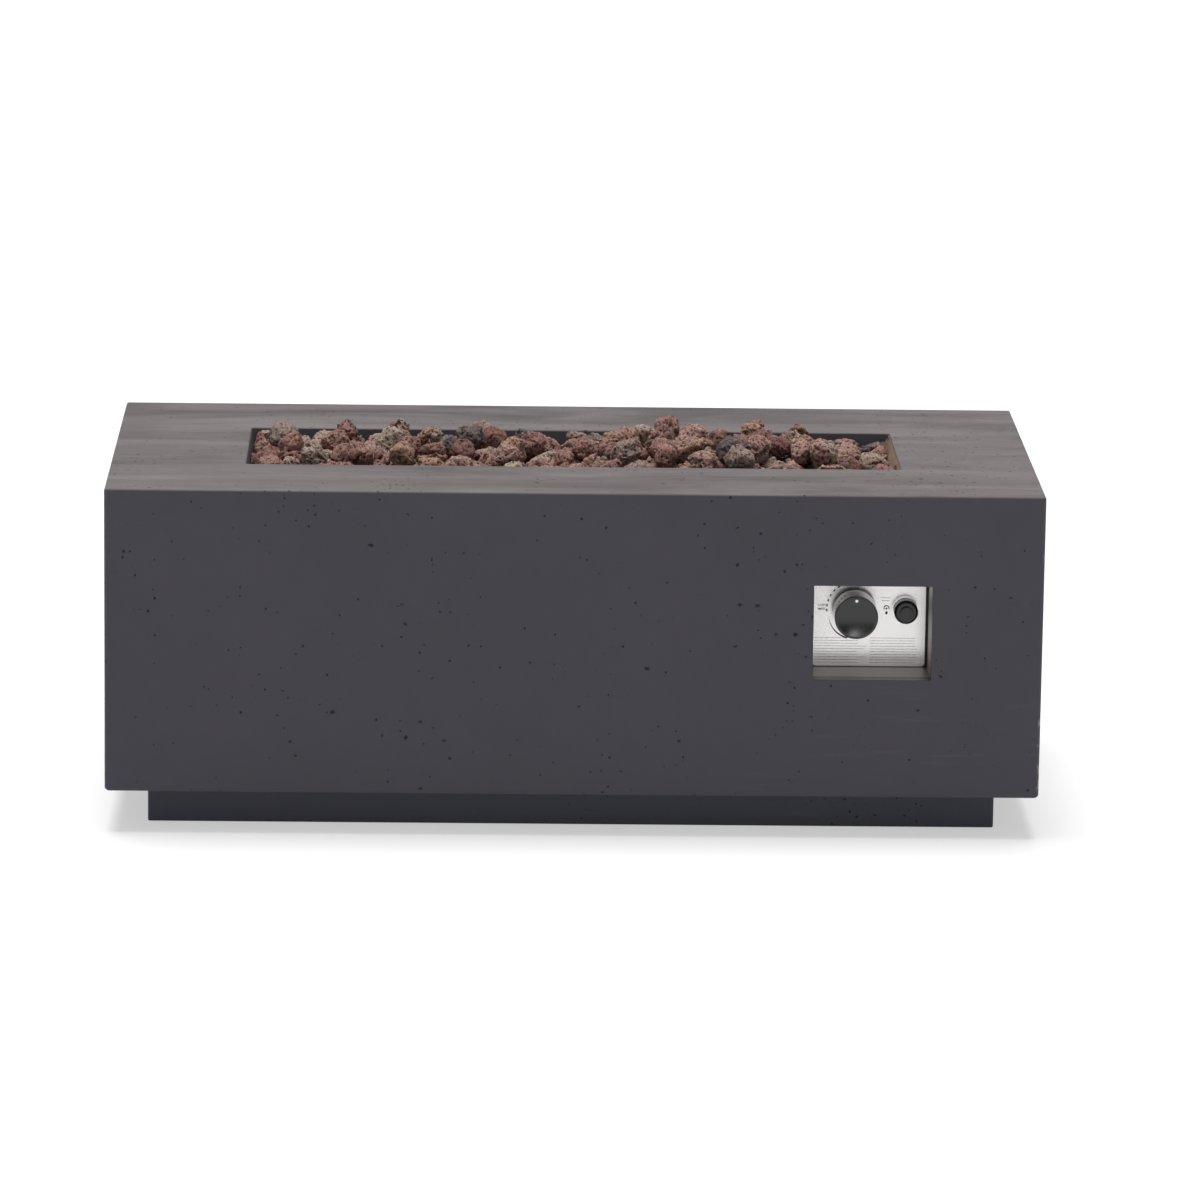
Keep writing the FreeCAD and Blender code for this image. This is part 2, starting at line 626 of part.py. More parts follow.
def make_body_shell():
    """Cast body: four walls, top slab, trough collar with its ledge, and the control pocket."""
    body = new_body("shell_casting")
    block = sketch_on(body, "block", "XY_Plane", ("0", "0", "plinth_height"))
    rectangle(block, "body_length", "body_depth")
    pad(body, "block_pad", block, "total_height - plinth_height")
    room = sketch_on(body, "room", "XY_Plane", ("0", "0", "plinth_height"))
    rectangle(room, "room_length", "room_depth")
    rectangle(room, "collar_length", "collar_width")
    pocket(body, "room_pocket", room, "roof_under - plinth_height", backwards=True)
    core = sketch_on(body, "core", "XY_Plane", ("0", "0", "plinth_height"))
    rectangle(core, "collar_length", "collar_width")
    pocket(body, "core_pocket", core, "ledge_under - plinth_height", backwards=True)
    trough = sketch_on(body, "trough", "XY_Plane", ("0", "0", "total_height"))
    rectangle(trough, "opening_length", "opening_width")
    dip = pocket(body, "trough_pocket", trough, "collar_depth")
    bind(dip, "TaperAngle", "-collar_draft")
    drop = sketch_on(body, "drop", "XY_Plane", ("0", "0", "ledge_top"))
    rectangle(drop, "drop_length", "drop_width")
    pocket(body, "drop_pocket", drop, "ledge_thickness * 1.5")
    boss = sketch_on(body, "boss", "XZ_Plane", ("panel_x", "panel_z", "half_depth - shell_wall"))
    rectangle(boss, "pocket_width + 2 * boss_margin", "pocket_height + 2 * boss_margin")
    pad(body, "boss_pad", boss, "boss_thickness - shell_wall", backwards=True)
    window = sketch_on(body, "window", "XZ_Plane", ("panel_x", "panel_z", "half_depth"))
    rectangle(window, "pocket_width", "pocket_height")
    pocket(body, "window_pocket", window, "boss_thickness * 1.2")
    vent = sketch_on(body, "vent", "XZ_Plane", ("0", "vent_rise", "-half_depth"))
    rectangle(vent, "vent_length", "vent_height")
    pocket(body, "vent_pocket", vent, "shell_wall * 1.5", backwards=True)

    top, foot = number("total_height"), number("plinth_height")
    side, front = number("half_length"), -number("half_depth")
    reach = number("opening_length") / 2
    round_edges(body, "upright_fillet", "upright_round",
                lambda e: upright(e) and near(abs(e.XMin), side) and near(abs(e.YMin), -front))
    round_edges(body, "top_fillet", "top_round", lambda e: near(e.ZMin, top) and (
        max(abs(e.XMin), abs(e.XMax)) > side - 5 or near(abs(e.YMin), -front)))
    round_edges(body, "bottom_fillet", "bottom_round", lambda e: near(e.ZMax, foot) and (
        max(abs(e.XMin), abs(e.XMax)) > side - 5 or near(abs(e.YMin), -front)))
    round_edges(body, "trough_fillet", "rim_corner", lambda e: near(e.ZMax, top) and (
        e.ZLength > 10 and max(abs(e.XMin), abs(e.XMax)) < reach + 0.01))
    round_edges(body, "rim_fillet", "rim_round", lambda e: near(e.ZMin, top) and (
        max(abs(e.XMin), abs(e.XMax)) < reach + 0.01))
    round_edges(body, "window_fillet", "pocket_round", lambda e: near(e.YMin, front) and (
        near(e.YMax, front) and e.ZMin > foot + 20 and e.ZMax < top - 20))

    holes = []
    for i, (at, along) in enumerate(bolt_spots()):
        if along != "-Z":
            holes.append(screw_hole(f"wall_bolt_hole_{i}", "bolt", "bracket_sheet + bolt_bite",
                                    at, along))
    for i, at in enumerate(pan_screw_spots()):
        holes.append(screw_hole(f"ledge_hole_{i}", "screw", "pan_sheet + screw_bite", at, "-Z"))
    for i, at in enumerate(housing_screw_spots()):
        holes.append(screw_hole(f"boss_hole_{i}", "screw", "housing_wall + screw_bite", at, "-Y"))
    for i, at in enumerate(vent_screw_spots()):
        holes.append(screw_hole(f"vent_hole_{i}", "screw", "vent_sheet + screw_bite", at, "+Y"))
    keep(cut("shell_drilled", body, holes), "body_shell")


def make_plinth():
    """Cast plinth ring with the plate that closes the body's walls, its feet and its angles."""
    body = new_body("plinth_casting")
    wall = sketch_on(body, "wall", "XY_Plane", ("0", "0", "foot_thickness"))
    rectangle(wall, "plinth_length", "plinth_depth")
    rectangle(wall, "well_length", "well_depth")
    pad(body, "wall_pad", wall, "plinth_height - foot_thickness")
    plate = sketch_on(body, "plate", "XY_Plane", ("0", "0", "plinth_height"))
    rectangle(plate, "room_length - 2 * flange_play", "room_depth - 2 * flange_play")
    rectangle(plate, "well_length", "well_depth")
    pad(body, "plate_pad", plate, "flange_thickness")
    end, foot = number("plinth_length") / 2, number("foot_thickness")
    side = number("plinth_depth") / 2
    round_edges(body, "corner_fillet", "plinth_round",
                lambda e: upright(e) and near(abs(e.XMin), end) and near(abs(e.YMin), side))
    round_edges(body, "foot_fillet", "plinth_round", lambda e: near(e.ZMax, foot) and (
        max(abs(e.XMin), abs(e.XMax)) > end - 4 or near(abs(e.YMin), side)))
    holes = [screw_hole(f"plate_bolt_hole_{i}", "bolt", "bracket_sheet + bolt_bite", at, along)
             for i, (at, along) in enumerate(bolt_spots()) if along == "-Z"]
    holes.append(rod("inlet_hole", "inlet_thread + thread_play", "plinth_wall * 1.5",
                     ("knob_x", "plinth_back", "inlet_height"), "-Y"))
    keep(cut("plinth_drilled", body, holes), "plinth_base")

    feet = [box(f"foot_{i + 1}_{k}", ("foot_length", "foot_width", "foot_thickness"),
                (f"{i} * (plinth_length / 2 - foot_from_end)",
                 f"{k} * (plinth_depth / 2 - foot_inset - foot_width / 2)"), "0")
            for i in THREE for k in SIDES]
    keep(group("feet", feet), "foot_pads")

    angles = []
    for i, (x, side) in enumerate(bracket_spots()):
        leg = box(f"angle_leg_{i}", ("bracket_width", "bracket_leg", "bracket_sheet"),
                  (x, f"{side} * (room_depth / 2 - bracket_leg / 2)"), "plate_top")
        rise = box(f"angle_rise_{i}", ("bracket_width", "bracket_sheet", "bracket_rise"),
                   (x, f"{side} * (room_depth / 2 - bracket_sheet / 2)"), "plate_top")
        holes = [screw_hole(f"angle_hole_{i}_{k}", "bolt", "bracket_sheet", at, along)
                 for k, (at, along) in enumerate(bolt_spots()[2 * i:2 * i + 2])]
        angles.append(cut(f"angle_{i}", fuse(f"angle_blank_{i}", [leg, rise]), holes))
    keep(group("angles", angles), "corner_brackets")
    bolts = [screw(f"bolt_{i}", "bolt", "bracket_sheet + bolt_bite", at, along)
             for i, (at, along) in enumerate(bolt_spots())]
    keep(group("bolts", bolts), "corner_bracket_screws")


def make_burner_pan():
    """Folded steel pan that hangs on the trough's ledge, and its screws."""
    body = new_body("pan_sheet_metal")
    tub = sketch_on(body, "tub", "XY_Plane", ("0", "0", "pan_under"))
    rectangle(tub, "pan_length", "pan_width")
    pad(body, "tub_pad", tub, "ledge_top - pan_under")
    flange = sketch_on(body, "flange", "XY_Plane", ("0", "0", "ledge_top"))
    rectangle(flange, "seat_length - 2 * pan_flange_gap", "seat_width - 2 * pan_flange_gap")
    pad(body, "flange_pad", flange, "pan_sheet")
    inside = sketch_on(body, "inside", "XY_Plane", ("0", "0", "ledge_top + pan_sheet"))
    rectangle(inside, "pan_length - 2 * pan_sheet", "pan_width - 2 * pan_sheet")
    pocket(body, "inside_pocket", inside, "pan_depth + pan_sheet")
    length = number("pan_length") / 2
    inner = length - number("pan_sheet")
    round_edges(body, "inside_fillet", "pan_corner - pan_sheet",
                lambda e: upright(e) and near(abs(e.XMin), inner))
    round_edges(body, "tub_fillet", "pan_corner",
                lambda e: upright(e) and near(abs(e.XMin), length))
    above = ("pan_floor", "-Z")
    holes = [screw_hole(f"pan_hole_{i}", "screw", "pan_sheet", at, "-Z")
             for i, at in enumerate(pan_screw_spots())]
    holes += [rod(f"drain_{i}_{k}", "drain_radius", "pan_sheet",
                  (f"{i} * drain_spread", f"{k} * pan_width / 3", above[0]), above[1])
              for i in SIDES for k in SIDES]
    holes.append(rod("stub_hole", "stub_radius + thread_play", "pan_sheet",
                     ("0", "0", above[0]), above[1]))
    holes.append(rod("insulator_hole", "insulator_radius + thread_play", "pan_sheet",
                     ("electrode_x", "0", above[0]), above[1]))
    holes.append(rod("probe_hole", "probe_radius + thread_play", "pan_sheet",
                     ("probe_x", "0", above[0]), above[1]))
    holes += [screw_hole(f"hood_hole_{i}", "screw", "pan_sheet",
                         (f"hood_offset + {i} * hood_screw_spread", "0", above[0]), above[1])
              for i in SIDES]
    keep(cut("pan_drilled", body, holes), "burner_pan")
    screws = [screw(f"pan_screw_{i}", "screw", "pan_sheet + screw_bite", at, "-Z")
              for i, at in enumerate(pan_screw_spots())]
    keep(group("pan_fixings", screws), "pan_screws")


def burner_rods(name, radius, trim):
    """The burner's three tubes and its stub at one radius, shortened by a trim at closed ends."""
    rods = [rod(f"{name}_long_{k + 1}", radius, f"burner_length - 2 * {trim}",
                (f"-burner_length / 2 + {trim}", f"{k} * tube_offset", "burner_axis"), "+X")
            for k in SIDES]
    rods.append(rod(f"{name}_cross", f"{radius} - burner_radius + cross_radius", "burner_spacing",
                    ("0", "-tube_offset", "burner_axis"), "+Y"))
    return rods


def make_burner():
    """Twin-tube burner with its ports and stub, saddles, lock nut, mixer and injector."""
    stub = rod("stub", "stub_radius", "burner_lift + stub_drop", ("0", "0", "burner_axis"), "-Z")
    outside = fuse("burner_outside", burner_rods("tube", "burner_radius", "0") + [stub])
    bores = burner_rods("bore", "burner_radius - burner_wall", "burner_wall")
    bores.append(rod("stub_bore", "stub_radius - burner_wall * 1.6", "burner_lift + stub_drop",
                     ("0", "0", "burner_axis"), "-Z"))
    count = int(number("burner_length") // number("port_pitch")) - 1
    ports = [rod(f"port_{i}_{k + 1}", "port_radius", "burner_radius * 1.2",
                 (f"({i} - {count - 1} / 2) * port_pitch", f"{k} * tube_offset", "burner_axis"))
             for i in range(count) for k in SIDES]
    burner = cut("burner_bored", outside, bores)
    drilled = doc.addObject("Part::Cut", "burner_drilled")
    drilled.Base = burner
    drilled.Tool = group("ports", ports)
    keep(drilled, "burner_tube")

    saddles = []
    for i in SIDES:
        for k in SIDES:
            spot = (f"{i} * support_spread", f"{k} * tube_offset")
            block = box(f"saddle_block_{i + 1}_{k + 1}",
                        ("support_length", "support_width", "burner_lift"), spot, "pan_floor")
            groove = rod(f"saddle_groove_{i + 1}_{k + 1}", "burner_radius + thread_play",
                         "support_length * 2",
                         (f"{spot[0]} - support_length", spot[1], "burner_axis"), "+X")
            saddles.append(cut(f"saddle_{i + 1}_{k + 1}", block, [groove]))
    keep(group("saddles", saddles), "burner_supports")
    keep(nut("stub_nut", "lock_nut_reach", "stub_radius + thread_play", "lock_nut_height",
             ("0", "0", "pan_under"), "-Z"), "burner_lock_nut")

    head = ("0", "0", "mixer_top")
    base = ("0", "0", "mixer_under")
    ports = [rod(f"air_port_{along}", "air_port_radius", "mixer_radius * 2",
                 shifted(("0", "0", "mixer_under + mixer_length * 0.45"), along, "-mixer_radius"),
                 along) for along in ("+X", "+Y")]
    keep(cut("mixer_body", rod("mixer_blank", "mixer_radius", "mixer_length", head, "-Z"), [
        rod("mixer_socket_bore", "stub_radius + thread_play", "mixer_socket", head, "-Z"),
        rod("mixer_chamber", "mixer_bore", "mixer_length - mixer_socket - mixer_end",
            shifted(base, "+Z", "mixer_end")),
        rod("mixer_jet_bore", "injector_radius + thread_play", "mixer_end * 1.2", base)] + ports),
        "air_mixer")
    keep(cut("injector_body", fuse("injector_blank", [
        hexagon("injector_hexagon", "injector_reach", "injector_head", base, "-Z"),
        rod("injector_thread", "injector_radius", "mixer_end", base)]), [
        rod("jet", "jet_radius", "mixer_end + injector_head", ("0", "0", "injector_under")),
        rod("injector_bore", "pipe_bore", "injector_head", ("0", "0", "injector_under"))]),
        "gas_injector")
    middle = ("0", "0", "elbow_axis")
    keep(cut("elbow_body", fuse("elbow_blank", [
        rod("elbow_post", "elbow_radius", "elbow_drop", ("0", "0", "injector_under"), "-Z"),
        rod("elbow_branch", "elbow_radius * 0.9", "elbow_arm", middle, "+X")]), [
        rod("elbow_bore", "pipe_bore", "elbow_drop", middle),
        rod("elbow_way", "pipe_bore", "elbow_arm", middle, "+X")]), "injector_elbow")


def make_ignition_head():
    """Hood over the spark electrode and the thermocouple, and the plate that holds both."""
    hood = box("hood_block", ("hood_length", "hood_width", "hood_height"),
               ("hood_offset", "0"), "pan_floor")
    feet = [box(f"hood_foot_{i + 1}", ("hood_foot", "hood_width / 2", "hood_sheet"),
                (f"hood_offset + {i} * hood_screw_spread", "0"), "pan_floor") for i in SIDES]
    hollow = box("hood_hollow", ("hood_length - 2 * hood_sheet", "hood_width - 2 * hood_sheet",
                                 "hood_height - hood_sheet"), ("hood_offset", "0"), "pan_floor")
    slots = [box(f"hood_slot_{i + 2}", ("hood_slot", "hood_width", "hood_height / 2"),
                 (f"hood_offset + {i} * hood_length / 6", "0"), "pan_floor + hood_height / 4")
             for i in (-2, -1, 0, 1, 2)]
    screws = [(f"hood_offset + {i} * hood_screw_spread", "0", "pan_floor + hood_sheet")
              for i in SIDES]
    holes = [screw_hole(f"hood_foot_hole_{i}", "screw", "hood_sheet", at, "-Z")
             for i, at in enumerate(screws)]
    keep(cut("hood_cut", fuse("hood_blank", [hood] + feet), [hollow] + slots + holes),
         "ignition_hood")
    grip = "hood_sheet + pan_sheet + bracket_plate + screw_bite / 2"
    keep(group("hood_fixings", [screw(f"hood_screw_{i}", "screw", grip, at, "-Z")
                                for i, at in enumerate(screws)]), "hood_screws")

    plate = box("holder_block", ("2 * hood_screw_spread + hood_foot", "hood_width / 2",
                                 "bracket_plate"), ("hood_offset", "0"), "holder_under")
    holes = [screw_hole(f"holder_hole_{i}", "screw", "bracket_plate", (at[0], "0", "pan_under"), "-Z")
             for i, at in enumerate(screws)]
    holes.append(rod("holder_insulator_hole", "insulator_radius + thread_play", "bracket_plate",
                     ("electrode_x", "0", "holder_under")))
    holes.append(rod("holder_probe_hole", "probe_radius + thread_play", "bracket_plate",
                     ("probe_x", "0", "holder_under")))
    keep(cut("holder", plate, holes), "ignition_bracket")

    tail = ("electrode_x", "0", "holder_under - tail_drop")
    ceramic = "pan_floor - holder_under + tail_drop + tip_rise / 2"
    keep(cut("ceramic", fuse("ceramic_blank", [
        rod("ceramic_rod", "insulator_radius", ceramic, tail),
        rod("ceramic_collar", "insulator_collar", "collar_height",
            ("electrode_x", "0", "holder_under"), "-Z")]), [
        rod("ceramic_bore", "electrode_radius + thread_play", ceramic, tail)]), "spark_insulator")
    keep(rod("spark_rod", "electrode_radius", "pan_floor - holder_under + tail_drop + tip_rise",
             tail), "spark_electrode")
    keep(fuse("probe", [
        rod("probe_rod", "probe_radius", "pan_floor - holder_under + tail_drop + tip_rise",
            ("probe_x", "0", "holder_under - tail_drop")),
        rod("probe_collar", "insulator_collar", "collar_height",
            ("probe_x", "0", "holder_under"), "-Z")]), "thermocouple_probe")


def make_lava_bed():
    """Packed lower lava rock as one solid, with the spaces of burner and hood left out."""
    lower = box("bed_lower", ("pan_length - 2 * (pan_sheet + bed_gap)",
                              "pan_width - 2 * (pan_sheet + bed_gap)",
                              "bed_top - pan_floor - seat_gap"), ("0", "0"), "pan_floor + seat_gap")
    upper = box("bed_upper", ("seat_length - 2 * bed_gap", "seat_width - 2 * bed_gap",
                              "bed_rise - bed_step"), ("0", "0"), "ledge_top + bed_step")
    height = "burner_lift + burner_radius + channel_gap"
    wide = "support_width + 2 * channel_gap"
    spaces = [box(f"channel_{k + 1}", ("burner_length + 2 * channel_gap", wide, height),
                  ("0", f"{k} * tube_offset"), "pan_floor") for k in SIDES]
    spaces.append(box("channel_cross", (wide, "burner_spacing", height), ("0", "0"), "pan_floor"))
    spaces.append(box("channel_hood", ("2 * hood_screw_spread + hood_foot + 2 * channel_gap",
                                       "hood_width + 2 * channel_gap",
                                       "hood_height + channel_gap"),
                      ("hood_offset", "0"), "pan_floor"))
    keep(cut("bed", fuse("bed_blank", [lower, upper]), spaces), "lava_rock_bed")


def clipped(faces, normal, reach):
    """A convex solid's faces, cut back to the side of a plane where normal . p <= reach."""
    kept, rim = [], []
    for face in faces:
        loop = []
        for start, end in zip(face, face[1:] + face[:1]):
            before, after = start.dot(normal) - reach, end.dot(normal) - reach
            if before <= 0:
                loop.append(start)
            if before * after < 0:
                cross = start + (end - start) * (before / (before - after))
                loop.append(cross)
                rim.append(cross)
        if len(loop) > 2:
            kept.append(loop)
    corners = []
    for point in rim:
        if all(point.distanceToPoint(other) > 1e-6 for other in corners):
            corners.append(point)
    if len(corners) > 2:
        middle = sum(corners, FreeCAD.Vector()) * (1 / len(corners))
        right = (corners[0] - middle).normalize()
        up = normal.cross(right)
        corners.sort(key=lambda p: math.atan2((p - middle).dot(up), (p - middle).dot(right)))
        kept.append(corners)
    return kept


def shortest_edge(faces):
    """Length of the shortest edge of a set of faces."""
    return min(start.distanceToPoint(end) for face in faces
               for start, end in zip(face, face[1:] + face[:1]))


def cube_faces(middle, half):
    """The six faces of a cube."""
    faces = []
    for axis in AXES.values():
        side = FreeCAD.Vector(axis.y, axis.z, axis.x)
        other = axis.cross(side)
        faces.append([middle + (axis + side * a + other * b) * half
                      for a, b in ((-1, -1), (1, -1), (1, 1), (-1, 1))])
    return faces


def stone_seeds(dice):
    """Centres of the loose stones: a jittered layer, and a thinner one on top of it."""
    pitch = number("stone_pitch")
    length, width = number("seat_length") + number("draft_inset"), number("seat_width")
    columns, rows = round(length / pitch), round(width / pitch)
    height = number("bed_top") + number("stone_rise")
    seeds = []
    for column in range(columns):
        for row in range(rows):
            x = (column + 0.5 - columns / 2) * length / columns + dice.uniform(-0.24, 0.24) * pitch
            y = (row + 0.5 - rows / 2) * width / rows + dice.uniform(-0.2, 0.2) * pitch
            # the heap falls away towards the right end
            fall = max(0, x / length - 0.38) * 1.6 * pitch
            seeds.append(FreeCAD.Vector(x, y, height - fall + dice.uniform(-0.14, 0.08) * pitch))
    lower = len(seeds)
    tries = 0
    while len(seeds) < lower * 1.36 and tries < 40 * lower:
        tries += 1
        x = dice.uniform(-0.46, 0.4) * length
        y = dice.uniform(-0.38, 0.38) * width
        point = FreeCAD.Vector(x, y, height + dice.uniform(0.58, 0.78) * pitch)
        if all(point.distanceToPoint(other) > 0.74 * pitch for other in seeds):
            seeds.append(point)
    return seeds, lower


def make_lava_stones():
    """Loose stones: each takes the space nearest to its centre, rounded off by planes."""
    dice = random.Random(41)
    seeds, lower = stone_seeds(dice)
    floor = number("bed_top")
    girth = []
    for i, seed in enumerate(seeds):
        nearest = min(seed.distanceToPoint(other) for other in seeds if other is not seed)
        girth.append(nearest / 2)
        if i < lower:
            girth[i] = max(girth[i], seed.z - floor)
    for i in range(lower, len(seeds)):
        gap, k = min((seeds[i].distanceToPoint(seeds[k]), k) for k in range(lower))
        girth[i] = max(girth[i], gap / 2)
        girth[k] = max(girth[k], gap / 2)

    lean = math.radians(number("collar_draft"))
    play, gap = number("stone_play"), number("seat_gap")
    walls = []
    for axis, size in ((FreeCAD.Vector(1, 0, 0), "opening_length"),
                       (FreeCAD.Vector(0, 1, 0), "opening_width")):
        for side in SIDES:
            half = number(size) / 2
            slope = axis * side * math.cos(lean) - FreeCAD.Vector(0, 0, math.sin(lean))
            rim = axis * side * half + FreeCAD.Vector(0, 0, number("total_height"))
            walls.append((slope, rim.dot(slope) - gap))
            walls.append((axis * side, half - gap))
    for i in SIDES:
        for k in SIDES:
            slope = FreeCAD.Vector(i, k, -2 * math.tan(lean)).normalize()
            corner = FreeCAD.Vector(i * (number("opening_length") / 2 - number("rim_corner")),
                                    k * number("opening_width") / 2, number("total_height"))
            walls.append((slope, corner.dot(slope) - gap))
    walls.append((FreeCAD.Vector(0, 0, -1), -floor - play))

    stones = []
    for i, seed in enumerate(seeds):
        faces = cube_faces(seed, 2 * number("stone_pitch"))
        for normal, reach in walls:
            faces = clipped(faces, normal, reach)
        for other in seeds:
            span = seed.distanceToPoint(other)
            if other is not seed and span < 3 * number("stone_pitch"):
                normal = (other - seed) * (1 / span)
                faces = clipped(faces, normal, (seed + other).dot(normal) / 2 - play)
        turn = dice.uniform(0, 2 * math.pi)
        count = dice.randint(15, 22)
        for k in range(count):
            # evenly spread directions on a spiral, each nudged
            rise = 1 - 2 * (k + 0.5) / count
            angle = turn + k * math.pi * (3 - math.sqrt(5)) + dice.uniform(-0.3, 0.3)
            flat = math.sqrt(1 - rise * rise)
            normal = FreeCAD.Vector(flat * math.cos(angle), flat * math.sin(angle), rise)
            reach = seed.dot(normal) + girth[i] * dice.uniform(1.0, 1.18)
            # of a few close planes, the one that leaves the longest short edge
            faces = max((clipped(faces, normal, reach + 0.35 * step) for step in range(7)),
                        key=shortest_edge)
        shell = Part.makeShell([Part.Face(Part.makePolygon(face + face[:1])) for face in faces])
        shell.sewShape()
        stones.append(Part.makeSolid(shell))
    item = doc.addObject("Part::Feature", "stones")
    item.Shape = Part.makeCompound(stones)
    item.Placement = FreeCAD.Placement()
    keep(item, "lava_rocks")


def make_control_panel():
    """Steel plate of the pocket, the sleeve that carries it, the nuts, screws and heat shield."""
    body = new_body("panel_plate")
    plate = sketch_on(body, "plate_outline", "XZ_Plane", ("panel_x", "panel_z", "-panel_front"))
    rectangle(plate, "pocket_width - 2 * panel_side_gap", "pocket_height - 2 * panel_gap")
    pad(body, "plate_thickness", plate, "panel_sheet", backwards=True)
    round_edges(body, "plate_fillet", "panel_corner",
                lambda e: e.XLength < 0.01 and e.ZLength < 0.01)
    studs = [(f"panel_x + {i} * stud_x", "panel_back", f"panel_z + {k} * stud_z")
             for i in SIDES for k in SIDES]
    blank = fuse("panel_blank", [body] + [rod(f"stud_{i}", "screw_radius", "stud_length", at, "+Y")
                                          for i, at in enumerate(studs)])
    knob, igniter = ("knob_x", "panel_front", "control_z"), ("igniter_x", "panel_front", "control_z")
    holes = [rod("spindle_hole", "spindle_collar", "panel_sheet", knob, "+Y"),
             rod("igniter_hole", "barrel_radius + thread_play", "panel_sheet", igniter, "+Y")]
    holes += [screw_hole(f"valve_hole_{i + 1}", "screw", "panel_sheet",
                         (f"knob_x + {i} * mount_screw_spread", "panel_front", "control_z"), "+Y")
              for i in SIDES]
    keep(cut("panel_drilled", blank, holes), "control_panel")
    keep(group("stud_nuts", [nut(f"stud_nut_{i}", "nut_reach", "screw_radius + thread_play",
                                 "nut_height", (at[0], "lip_back", at[2]), "+Y")
                             for i, at in enumerate(studs)]), "panel_nuts")

    body = new_body("housing_sheet_metal")
    window = ("pocket_width", "pocket_height")
    for name, front, thick, outer, inner in (
            ("sleeve", "boss_back", "lip_back - boss_back", "2 * housing_wall", "0"),
            ("flange", "boss_back", "housing_wall", "2 * housing_flange", "0"),
            ("lip", "panel_back", "housing_wall", "2 * housing_wall", "-2 * housing_lip")):
        sketch = sketch_on(body, name, "XZ_Plane", ("panel_x", "panel_z", f"-({front})"))
        for extra in (outer, inner):
            rectangle(sketch, f"{window[0]} + {extra}", f"{window[1]} + {extra}")
        pad(body, f"{name}_pad", sketch, thick, backwards=True)
    holes = [screw_hole(f"lip_hole_{i}", "screw", "housing_wall", at, "+Y")
             for i, at in enumerate(studs)]
    holes += [screw_hole(f"flange_hole_{i}", "screw", "housing_wall", at, "-Y")
              for i, at in enumerate(housing_screw_spots())]
    shield_screws = [(f"panel_x + {i} * pocket_width / 3", "(boss_back + lip_back) / 2",
                      "sleeve_top + shield_sheet") for i in SIDES]
    holes += [screw_hole(f"sleeve_hole_{i}", "screw", "housing_wall",
                         (at[0], at[1], "sleeve_top"), "-Z") for i, at in enumerate(shield_screws)]
    keep(cut("housing_drilled", body, holes), "panel_housing")
    keep(group("housing_fixings", [screw(f"housing_screw_{i}", "screw", "housing_wall + screw_bite",
                                         at, "-Y") for i, at in enumerate(housing_screw_spots())]),
         "housing_screws")

    depth = "lip_back - boss_back - housing_wall - seat_gap + shield_reach"
    front = "boss_back + housing_wall + seat_gap"
    sheet = box("shield_blank", ("pocket_width + 2 * (housing_wall + shield_margin)", depth,
                                 "shield_sheet"), ("panel_x", f"{front} + ({depth}) / 2"),
                "sleeve_top")
    keep(cut("shield", sheet, [screw_hole(f"shield_hole_{i}", "screw", "shield_sheet", at, "-Z")
                               for i, at in enumerate(shield_screws)]), "heat_shield")
    keep(group("shield_fixings", [screw(f"shield_screw_{i}", "screw", "shield_sheet + housing_wall",
                                        at, "-Z") for i, at in enumerate(shield_screws)]),
         "heat_shield_screws")


def flatted_rod(name, radius, flat, length, at, along):
    """Round bar along Y with one flat on its upper side."""
    bar = rod(f"{name}_bar", radius, length, at, along)
    ahead = "-" if along == "-Y" else "+"
    half = f"({length}) / 2"
    top = box(f"{name}_top", (f"4 * ({radius})", length, f"2 * ({radius})"),
              (at[0], f"{at[1]} {ahead} {half}"), f"{at[2]} + {flat}")
    return cut(name, bar, [top])


def axis_point(y, x="knob_x"):
    """Point on the knob's axis, or on the igniter's."""
    return (x, y, "control_z")


def make_knob():
    """Hollow knob with its pointer dot and the clip that grips its hub."""
    body = new_body("knob_moulding")
    back, front = "-knob_standoff", "-(knob_standoff + knob_length)"
    turned(body, "knob_turned", [
        ("0", front), ("knob_radius", front), ("knob_radius", back),
        ("knob_radius - knob_wall", back), ("knob_radius - knob_wall", f"{front} + knob_face"),
        ("hub_radius", f"{front} + knob_face"), ("hub_radius", f"{back} - knob_wall"),
        ("0", f"{back} - knob_wall")])
    face = -number("knob_standoff") - number("knob_length")
    round_edges(body, "knob_fillet", "knob_round",
                lambda e: near(e.YMin, face) and near(e.YMax, face))
    place(body, axis_point("panel_front"))
    hub_back = "panel_front - knob_standoff - knob_wall"
    dot = ("knob_x", f"panel_front + {front}", "control_z + dot_offset")
    hollow = "(dish_radius ^ 2 + dish_depth ^ 2) / (2 * dish_depth)"
    keep(cut("knob_bored", body, [
        flatted_rod("hub_bore", "spindle_radius + thread_play", "spindle_flat + thread_play",
                    "hub_socket + seat_gap", axis_point(hub_back), "-Y"),
        rod("dot_recess", "dot_radius + thread_play", "dot_depth", dot, "+Y"),
        ball("knob_dish", hollow, axis_point(f"panel_front + {front} + dish_depth - {hollow}"))]),
        "control_knob")
    keep(rod("dot", "dot_radius", "dot_depth", dot, "+Y"), "knob_pointer_dot")
    clip = ring("clip_ring", "hub_radius + clip_sheet", "hub_radius + thread_play", "clip_width",
                axis_point(f"{hub_back} - clip_width"), "+Y")
    gap = box("clip_gap", ("hub_radius", "clip_width * 2", "hub_radius * 2"),
              ("knob_x", f"{hub_back} - clip_width / 2"), "control_z - hub_radius * 2")
    keep(cut("clip", clip, [gap]), "knob_clip")


